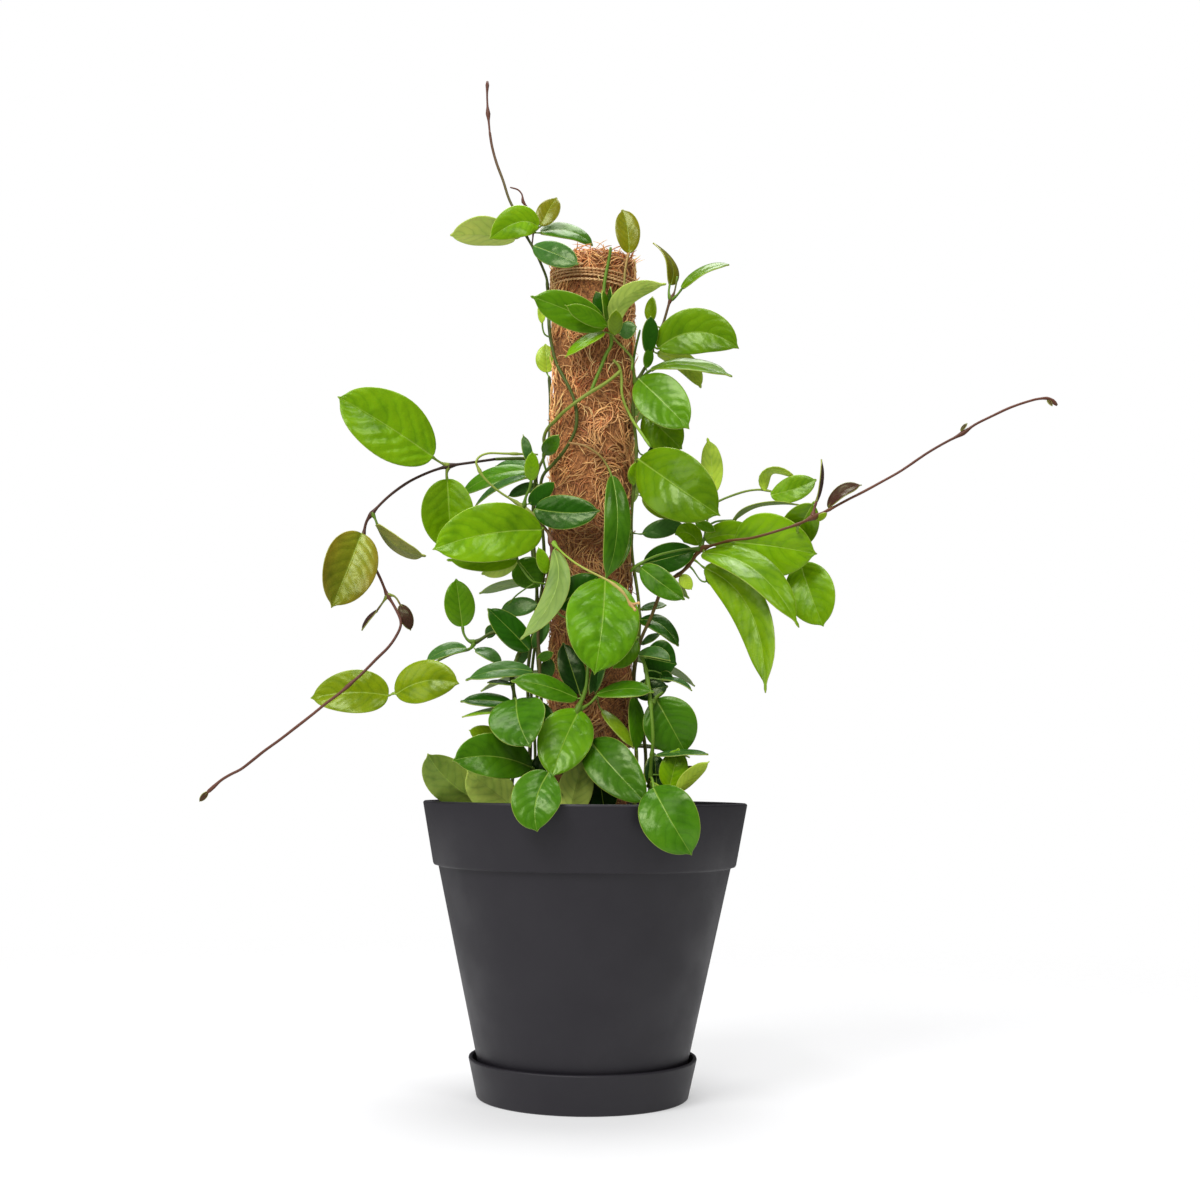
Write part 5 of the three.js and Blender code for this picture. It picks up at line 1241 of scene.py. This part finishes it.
# Leaves: what their blades are modelled with, and the ranges that each leaf's form is drawn from
leafSettings = {
    "columns": (-1, -0.955, -0.8, -0.55, -0.3, -0.08, 0, 0.08, 0.3, 0.55, 0.8, 0.955, 1),
    "rows": 24,
    "smallColumns": (-1, -0.93, -0.6, -0.1, 0.1, 0.6, 0.93, 1),
    "smallRows": 14,
    "smallFrom": 13,
    "thickness": 1.1,
    "archRatio": 0.1,
    "foldedFrom": 26,
    "folds": (13, 9),        # in degrees, of a wide leaf and of a narrower one
    "foldSpread": 2.5,
    "groovedFrom": 16,
    "groove": 0.35,
    "keel": 0.5,
    "tipFrom": 0.9935,
    "tipPoint": 0.035,
    "slenderRatio": 0.45,
    "slenderTip": (0.3, 0.6),
    "broadTip": (0, 0.1),
    "skew": (0.84, 1.0),
    "twist": 0.12,
    "droop": (0.02, 0.14),
    "wave": (0.01, 0.035),
    "beats": (1, 1.8),
    "swell": (0.55, 1.2),
    "brightness": (0.86, 1.14),
    "rimShares": {"bronzed": 0.5},
    "rimShare": 0.25,
}


# The master blade is flat: x runs from rim to rim, y from base to tip, z is -1 on the under face and 1 on top
def modelBlade(name, columns, rows):
    deselectAll()
    bpy.ops.mesh.primitive_grid_add(x_subdivisions=len(columns) - 1, y_subdivisions=rows, size=2)
    blade = bpy.context.object
    blade.name = name
    with editing():
        bpy.ops.transform.translate(value=(0, 1, 0))
        bpy.ops.transform.resize(value=(1, 0.5, 1), center_override=(0, 0, 0))
    points = pointsOf(blade.data)
    points[:, 0] = np.interp(points[:, 0], np.linspace(-1, 1, len(columns)), columns)
    points[:, 1] = (1 - np.cos(math.pi * points[:, 1])) / 2
    setPoints(blade.data, points)
    applyModifier(blade, "SOLIDIFY", thickness=2, offset=0)
    points = pointsOf(blade.data)
    layer = blade.data.uv_layers[0]
    layer.name = "bladeMap"
    corners = np.empty(len(blade.data.loops), dtype=int)
    blade.data.loops.foreach_get("vertex_index", corners)
    flat = np.stack([(points[corners, 0] + 1) / 2, points[corners, 1]], axis=1)
    layer.data.foreach_set("uv", flat.ravel())
    return blade


# Where a blade stands, its two faces' tones and its rim's; a crease is given only where it isn't drawn
def leafOf(spine, wide, face, toneName, brighter=1, underSeen=False, crease=None):
    seen, other, rimTone = (fromHex(code) for code in leafTones[toneName])
    seen = seen * brighter
    upper, under = (other, seen) if underSeen else (seen, other)
    rimShare = leafSettings["rimShares"].get(toneName, leafSettings["rimShare"])
    return {
        "spine": spine, "wide": wide, "face": face, "crease": crease,
        "upper": upper, "under": under, "rimTone": rimTone, "rimShare": rimShare,
    }


# Centre, side and face directions along the blade, on a quadratic curve with a small point past its tip
def bladeSpine(leaf, along, draw):
    base, bend, tip = leaf["spine"]
    share = along[:, None]
    centre = (1 - share) ** 2 * base + 2 * share * (1 - share) * bend + share ** 2 * tip
    run = unitRows((1 - share) * (bend - base) + share * (tip - bend))
    centre = centre + run * (leafSettings["tipPoint"] * np.linalg.norm(tip - base) * share ** 200)
    aside = unitRows(np.cross(run, leaf["face"]))
    face = np.cross(aside, run)
    twist = (draw.normal(0, leafSettings["twist"]) * along)[:, None]
    cos, sin = np.cos(twist), np.sin(twist)
    return centre, aside * cos + face * sin, face * cos - aside * sin


# Half the blade's width: nearly an ellipse, with a short drawn-out tip
def bladeHalf(leaf, along, draw):
    base, _, tip = leaf["spine"]
    wide = leaf["wide"]
    skew = draw.uniform(*leafSettings["skew"])
    slender = wide < leafSettings["slenderRatio"] * np.linalg.norm(tip - base)
    tipPull = draw.uniform(*leafSettings["slenderTip" if slender else "broadTip"])
    share = np.clip(along / leafSettings["tipFrom"], 0, 1)
    full = np.clip(np.sin(math.pi * share ** skew), 0, 1)
    outline = full ** (0.5 + tipPull * np.clip((share - 0.8) / 0.2, 0, 1) ** 2)
    point = 0.2 + 0.7 * np.clip((1 - along) * 230, 0, 1) * (wide > 12)
    return np.maximum(wide / 2 * outline, leaf["stalk"] * 0.75 * (1 - along) + point * along)


# How far the two faces stand off the spine: the fold, droop and waves, with a groove above the midrib's keel
def bladeLift(leaf, flat, half, draw):
    across, along, side = flat
    away, wide = np.abs(across), leaf["wide"]
    crease = draw.normal(leafSettings["folds"][wide < leafSettings["foldedFrom"]], leafSettings["foldSpread"])
    fold = math.tan(math.radians(leaf["crease"] or crease))
    droop, rise = draw.uniform(*leafSettings["droop"]), draw.uniform(*leafSettings["wave"])
    beats, phase = draw.uniform(*leafSettings["beats"]), draw.uniform()
    wave = rise * np.sin(2 * math.pi * (along * beats + phase) + across)
    height = half * (fold * away - droop * away ** 2.5 + wave * away ** 2)
    if wide > leafSettings["groovedFrom"]:
        height -= leafSettings["groove"] * np.exp(-(away * half / 1.1) ** 2) * (1 - along)
    thin = leafSettings["thickness"] / 2 * (0.75 + wide / 120) * (1 - 0.62 * away ** 8)
    thin = thin + (leaf["stalk"] - 0.2) * np.exp(-(along / 0.035) ** 2)
    keel = leafSettings["keel"] * np.exp(-(away * half / 0.8) ** 2) * (1 - along)
    return height + side * (thin + keel * (side < 0))


# The blade's tones, the places of its midrib and rim, its upper face and how far it swells between its veins
def paintBlade(mesh, leaf, flat, half, draw):
    across, along, side = flat
    away, wide, mark, upper = np.abs(across), leaf["wide"], leaf["mark"], side > 0
    tones = np.where(upper[:, None], leaf["upper"], leaf["under"])
    tones = tones + (away ** 2.5 * leaf["rimShare"])[:, None] * (leaf["rimTone"] - tones)
    addTone(mesh, tones * (1 + 0.1 * np.sin(3 * along + mark * 9)[:, None]))
    ribHalf = (0.22 + 0.011 * wide) * (1.25 - along)
    lines = np.stack([away * half / ribHalf, (1 - away) * half, np.full(len(away), mark)], axis=1)
    addValues(mesh, "bladeLines", "FLOAT_VECTOR", "vector", lines)
    addValues(mesh, "upperSide", "FLOAT", "value", upper)
    grow = min(wide / 40, 1.1) ** 2.4 * draw.uniform(*leafSettings["swell"])
    swell = grow * (1 - away ** 3) * np.clip(along * 8, 0, 1) * (0.4 + 0.6 * upper)
    addValues(mesh, "swell", "FLOAT", "value", swell)


# Bends a copy of the master blade onto its own spine
def bentBlade(master, leaf, draw):
    flat = pointsOf(master.data).T
    across, along, _ = flat
    centre, aside, face = bladeSpine(leaf, along, draw)
    half = bladeHalf(leaf, along, draw)
    lift = bladeLift(leaf, flat, half, draw)
    copy = master.data.copy()
    setPoints(copy, (centre + aside * (across * half)[:, None] + face * lift[:, None]) * mm)
    paintBlade(copy, leaf, flat, half, draw)
    return copy


# Side veins leave the midrib in pairs and sweep towards the tip: the gap to the next one, in vein spacings
def veinGap(spot, aside, mark, place):
    sweep = calc("MULTIPLY", calc("POWER", aside, 1.35), 2.1)
    phase = calc("SUBTRACT", calc("MULTIPLY_ADD", spot["Y"], 6.2, calc("MULTIPLY", mark, 3.0)), sweep)
    phase = calc("MULTIPLY_ADD", grain(place, 90, 2), 0.9, phase)
    return calc("ABSOLUTE", calc("SUBTRACT", calc("FRACT", phase), 0.5))


def leafSkin():
    skin, place = newSkin("hoyaLeaf")
    tree = skin.node_tree
    tone, upper = attributeOf(skin, "tone"), attributeOf(skin, "upperSide", "Fac")
    lines = addNode(tree, "SeparateXYZ", {"Vector": attributeOf(skin, "bladeLines", "Vector")}).outputs
    bladeMap = addNode(tree, "UVMap", uv_map="bladeMap").outputs["UV"]
    spot = addNode(tree, "SeparateXYZ", {"Vector": bladeMap}).outputs
    aside = calc("ABSOLUTE", calc("MULTIPLY_ADD", spot["X"], 2.0, -1.0))
    gap = veinGap(spot, aside, lines["Z"], place)
    # painted shade: the side veins are darker, as the shade in the creases along them
    veinCreaseShade = calc("MULTIPLY", ramped(gap, 0.0, 0.12, 1.0, 0.0), ramped(aside, 0.5, 0.92, 1.0, 0.0))
    # painted highlight: the blade is paler between its side veins, as the light on the swells there
    swellHighlight = calc("MULTIPLY", ramped(gap, 0.05, 0.42, 0.0, 0.2), ramped(aside, 0.7, 1.0, 1.0, 0.0))
    rib = ramped(lines["X"], 0.3, 0.95, 1.0, 0.0)
    rim = ramped(lines["Y"], 0.1, 0.45, 1.0, 0.0)
    mottle, fineMottle = grain(place, 60, 4, 0.55), grain(place, 900, 3, 0.6)
    deeper = blended(1.0, tone, (0.5, 0.6, 0.5), "MULTIPLY")
    paler = blended(1.0, tone, (1.45, 1.25, 1.3), "MULTIPLY")
    colour = blended(ramped(mottle, 0.44, 0.72, 0.0, 0.85), tone, deeper)
    colour = blended(ramped(mottle, 0.22, 0.46, 0.6, 0.0), colour, paler)
    # paler between the side veins, as a painted highlight on the swells
    colour = blended(swellHighlight, colour, paler)
    # the side veins darkened, as painted shade in their creases
    colour = blended(calc("MULTIPLY", veinCreaseShade, 0.3), colour, deeper)
    colour = blended(calc("MULTIPLY", rib, 0.4), colour, (0.34, 0.48, 0.07))
    colour = blended(calc("MULTIPLY", rim, 0.5), colour, (0.42, 0.48, 0.09))
    # the blade swells between its side veins
    quilt = calc("COSINE", calc("MULTIPLY", gap, 6.283))
    quilt = calc("MULTIPLY", quilt, calc("MULTIPLY", attributeOf(skin, "swell", "Fac"), -0.5))
    relief = calc("MULTIPLY_ADD", rib, -0.5, quilt)
    relief = calc("MULTIPLY_ADD", fineMottle, 0.006, relief)
    relief = calc("MULTIPLY_ADD", grain(place, 120, 2, 0.4), 2.6, relief)
    return dressed(skin, {
        "Base Color": colour,
        "Roughness": calc("MULTIPLY_ADD", fineMottle, 0.03, calc("MULTIPLY_ADD", upper, -0.24, 0.49)),
        "Specular IOR Level": 0.28,
        "Specular Tint": (0.85, 1, 0.5, 1),
        "Coat Weight": 0.05,
        "Coat Roughness": 0.12,
        "Subsurface Weight": 0.1,
        "Subsurface Radius": (0.5, 1.0, 0.15),
        "Subsurface Scale": 0.0012,
        "Normal": bumped(relief, 0.45, 0.0007),
    })


def stemSkin():
    skin, place = newSkin("hoyaStem")
    tone = attributeOf(skin, "tone")
    specks = grain(place, 520, 4, 0.6)
    darker = blended(0.5, tone, (0.06, 0.03, 0.015))
    return dressed(skin, {
        "Base Color": blended(ramped(specks, 0.5, 0.8, 0.0, 0.6), tone, darker),
        "Roughness": ramped(specks, 0.2, 0.8, 0.42, 0.6),
        "Specular IOR Level": 0.25,
        "Normal": bumped(specks, 0.35, 0.0004),
    })


# A leaf of the table in its real place, with its tilt about the line from its base to its tip
def seenLeaf(entry, draw):
    start, middle, end, wide, tilt, toneName, *crease = entry
    eye = np.array((0, -plantSettings["eyeDistance"], plantSettings["eyeHeight"]))
    base, tip = placed(start), placed(end)
    run = unit(tip - base)
    toEye = unit(eye - base)
    toEye = unit(toEye - toEye.dot(run) * run)
    skyward = np.cross(run, toEye)
    if skyward[0] * 0.25 + skyward[2] < 0:
        skyward = -skyward
    angle = math.radians(tilt)
    face = toEye * math.cos(angle) + skyward * math.sin(angle)
    halfway = (base + tip) / 2
    bend = halfway + leafSettings["archRatio"] * np.linalg.norm(tip - base) * face
    if middle:
        bend = 2 * placed(middle) - halfway
    brighter = draw.uniform(*leafSettings["brightness"])
    return leafOf((base, bend, tip), wide, face, toneName, brighter, tilt > 90, *crease)


# The place on the stems that a petiole grows from: close to the blade's base and not beyond it
def rootOf(stemLines, base, run):
    best, bestCost = None, 1e9
    for index, line in enumerate(stemLines):
        away = line - base
        cost = np.linalg.norm(away, axis=1) + 0.6 * np.maximum(away @ run, 0)
        spot = int(np.argmin(cost))
        if cost[spot] < bestCost:
            best, bestCost = (index, spot), cost[spot]
    return best


# A petiole leaves its stem outwards and runs into the blade
def petioleTube(root, base, run, leaf, stalkTone):
    reach = np.linalg.norm(base - root) * 0.38
    outward = unit(unit(base - root) + np.array((0, 0, 0.25)))
    bendIn, bendOut = root + outward * reach, base - run * reach
    share = np.linspace(0, 1, plantSettings["petioleRings"])[:, None]
    path = (
        (1 - share) ** 3 * root + 3 * share * (1 - share) ** 2 * bendIn
        + 3 * share ** 2 * (1 - share) * bendOut + share ** 3 * (base + run * 0.8)
    )
    radii = leaf["stalk"] * (1 + 0.25 * np.cos(2 * math.pi * share[:, 0]))
    tone = 0.55 * leaf["under"] + 0.45 * stalkTone
    return path, radii, np.repeat(tone[None], len(path), axis=0)


# A stem as a tube: it thickens at its nodes and buds, and its tone changes along it
def stemTube(line, radius, tones, swells, draw):
    away = np.concatenate([[0], np.cumsum(np.linalg.norm(np.diff(line, axis=0), axis=1))])
    share = away / away[-1]
    radii = radius * (1 + 0.06 * np.sin(away / 5 + draw.uniform(0, 6)))
    tone = tones[0] + (share ** 1.5)[:, None] * (tones[1] - tones[0])
    tone = tone * (1 + 0.12 * np.sin(away / 17 + draw.uniform(0, 6)))[:, None]
    for centre, halfLength, fat in swells:
        gap = np.linalg.norm(line - centre, axis=1)
        if gap.min() < 2.5:
            bulge = np.exp(-((gap / halfLength) ** 2))
            radii = np.maximum(radii, radius + (fat - radius) * bulge)
    radii[-1] *= 0.7
    return line, radii, tone


# The line of a stem; a stout one sways a little between its two ends
def stemLine(radius, points, draw):
    line = smoothLine(points, plantSettings["stemStep"])
    if radius < plantSettings["swayFrom"] * plantSettings["slimmer"]:
        return line
    away = np.arange(len(line)) * plantSettings["stemStep"]
    wide = plantSettings["swayWide"] * np.sin(math.pi * np.arange(len(line)) / (len(line) - 1))
    first, second = draw.uniform(*anyTurn, 2)
    line[:, 0] += wide * np.sin(away / plantSettings["swayLong"] + first)
    line[:, 1] += 0.5 * wide * np.sin(away / (1.3 * plantSettings["swayLong"]) + second)
    return line


def growVine(name, vine, skins, masters, seed):
    draw, swayDraw = np.random.default_rng(seed), np.random.default_rng(seed + 200)
    lines = [stemLine(stem[0], stem[3], swayDraw) for stem in vine["stems"]]
    swells, stalkTone = list(vine["buds"]), fromHex(stemTones["light"])
    petioles, blades = [], []
    for leaf in vine["leaves"]:
        base, bend, _ = leaf["spine"]
        run = unit(bend - base)
        index, spot = rootOf(lines, base, run)
        root = lines[index][spot]
        leaf["stalk"] = 0.36 + 0.014 * leaf["wide"]
        leaf["mark"] = draw.uniform()
        fat = vine["stems"][index][0] * (1 + plantSettings["nodeSwell"])
        swells.append((root, plantSettings["nodeLength"], fat))
        if np.linalg.norm(base - root) > 0.8:
            petioles.append(petioleTube(root, base, run, leaf, stalkTone))
        small = leaf["wide"] < leafSettings["smallFrom"]
        copy = bentBlade(masters[small], leaf, draw)
        copy.materials.append(skins[0])
        blades.append(meshObject(name + "_blade", copy))
    tubes = [stemTube(line, stem[0], stem[1:3], swells, draw) for line, stem in zip(lines, vine["stems"])]
    stems = tubesObject(name + "_stems", tubes + petioles, plantSettings["stemSides"])
    stems.data.materials.append(skins[1])
    deselectAll()
    for part in (*blades, stems):
        part.select_set(True)
    bpy.context.view_layer.objects.active = blades[0]
    bpy.ops.object.join()
    piece = bpy.context.object
    piece.name = piece.data.name = name + "_shoot"
    finishPiece(piece, [name])


def seenVine(vine, draw):
    stems = []
    for radius, first, last, points in vine["stems"]:
        tones = fromHex(stemTones[first]), fromHex(stemTones[last])
        stems.append((radius * plantSettings["slimmer"], *tones, [placed(point) for point in points]))
    buds = [(placed(centre), halfLength, fat) for centre, halfLength, fat in vine["buds"]]
    return {"stems": stems, "leaves": [seenLeaf(entry, draw) for entry in vine["leaves"]], "buds": buds}


# The vines behind the pole climb it by the same rule and draws as their CAD nodes
backSettings = {
    "vines": {
        "vine_back_left": {"bearing": 125, "low": 205, "top": 330, "seed": 11},
        "vine_back_right": {"bearing": 62, "low": 222, "top": 456, "seed": 37},
    },
    "root": 38,
    "radius": 1.3,
    "hug": 29.4,
    "spacing": 58,
    "openSpread": 50,
    "tuckedSpread": 16,
    "tuckedFrom": 350,
    "petiole": 9,
    "widthRatio": 0.55,
}


def seededDraws(seed):
    state = seed
    while True:
        state = (state * 1664525 + 1013904223) % 4294967296
        yield state / 4294967296


def aroundPole(bearing, reach, height):
    angle = math.radians(bearing)
    return np.array((poleSettings["x"] + reach * math.cos(angle), reach * math.sin(angle), height))


def climbedLeaf(node, height, hand, bearing, draws):
    spread = backSettings["openSpread" if height < backSettings["tuckedFrom"] else "tuckedSpread"]
    aim = math.radians(bearing + hand * spread * (0.8 + 0.4 * next(draws)))
    length = 38 + 16 * next(draws)
    run = unit(np.array((math.cos(aim), math.sin(aim), -0.15 - 0.35 * next(draws))))
    base = node + run * backSettings["petiole"] + np.array((0, 0, 3 * hand))
    tip = base + run * length
    face = np.array((math.cos(aim) * 0.5, math.sin(aim) * 0.5, 1))
    face = unit(face - face.dot(run) * run)
    bend = (base + tip) / 2 + leafSettings["archRatio"] * length * face
    toneName = "lit" if (height // backSettings["spacing"] + hand) % 3 else "mid"
    return leafOf((base, bend, tip), length * backSettings["widthRatio"], face, toneName)


def climbedVine(bearing, low, top, seed):
    draws = seededDraws(seed)
    root, reach, soilTop = backSettings["root"], backSettings["hug"], soilSettings["top"]
    points = [aroundPole(bearing, root, soilTop - 14), aroundPole(bearing, root - 3, soilTop + 12)]
    leaves = []
    for height in range(low, top + 1, backSettings["spacing"]):
        swayed = bearing + (next(draws) - 0.5) * 9
        node = aroundPole(swayed, reach, height)
        points.append(node)
        leaves += [climbedLeaf(node, height, hand, swayed, draws) for hand in (-1, 1)]
    points.append(aroundPole(bearing, reach, top + 12))
    green = fromHex(stemTones["green"])
    return {"stems": [(backSettings["radius"], green, green, points)], "leaves": leaves, "buds": []}


def growPlant():
    masters = [
        modelBlade("blade_master", leafSettings["columns"], leafSettings["rows"]),
        modelBlade("small_blade_master", leafSettings["smallColumns"], leafSettings["smallRows"]),
    ]
    skins = leafSkin(), stemSkin()
    seed = plantSettings["seed"]
    for index, (name, vine) in enumerate(frontVines.items()):
        draw = np.random.default_rng(seed + 50 + index)
        growVine(name, seenVine(vine, draw), skins, masters, seed + index)
    for index, (name, facts) in enumerate(backSettings["vines"].items()):
        growVine(name, climbedVine(**facts), skins, masters, seed + 30 + index)
    removeAll(masters)


growPlant()

# Floor, which fades into the white surround at its edge
floorSettings = {"size": 5, "drop": 0.0001, "fadeFrom": 0.3, "fadeTo": 1.1}


def floorSkin():
    skin, place = newSkin("floorPaint")
    away = addNode(skin.node_tree, "VectorMath", {0: place}, operation="LENGTH").outputs["Value"]
    return dressed(skin, {
        "Base Color": (*studioSettings["floorTone"], 1),
        "Roughness": 0.9,
        "Specular IOR Level": 0.1,
        "Emission Color": (1, 1, 1, 1),
        "Emission Strength": studioSettings["floorGlow"],
        "Alpha": ramped(away, floorSettings["fadeFrom"], floorSettings["fadeTo"], 1.0, 0.0),
    })


def addFloor():
    deselectAll()
    bpy.ops.mesh.primitive_plane_add(size=floorSettings["size"], location=(0, 0, -floorSettings["drop"]))
    floor = bpy.context.object
    floor.name = "studio_floor"
    floor.data.materials.append(floorSkin())


addFloor()
print("floor laid")
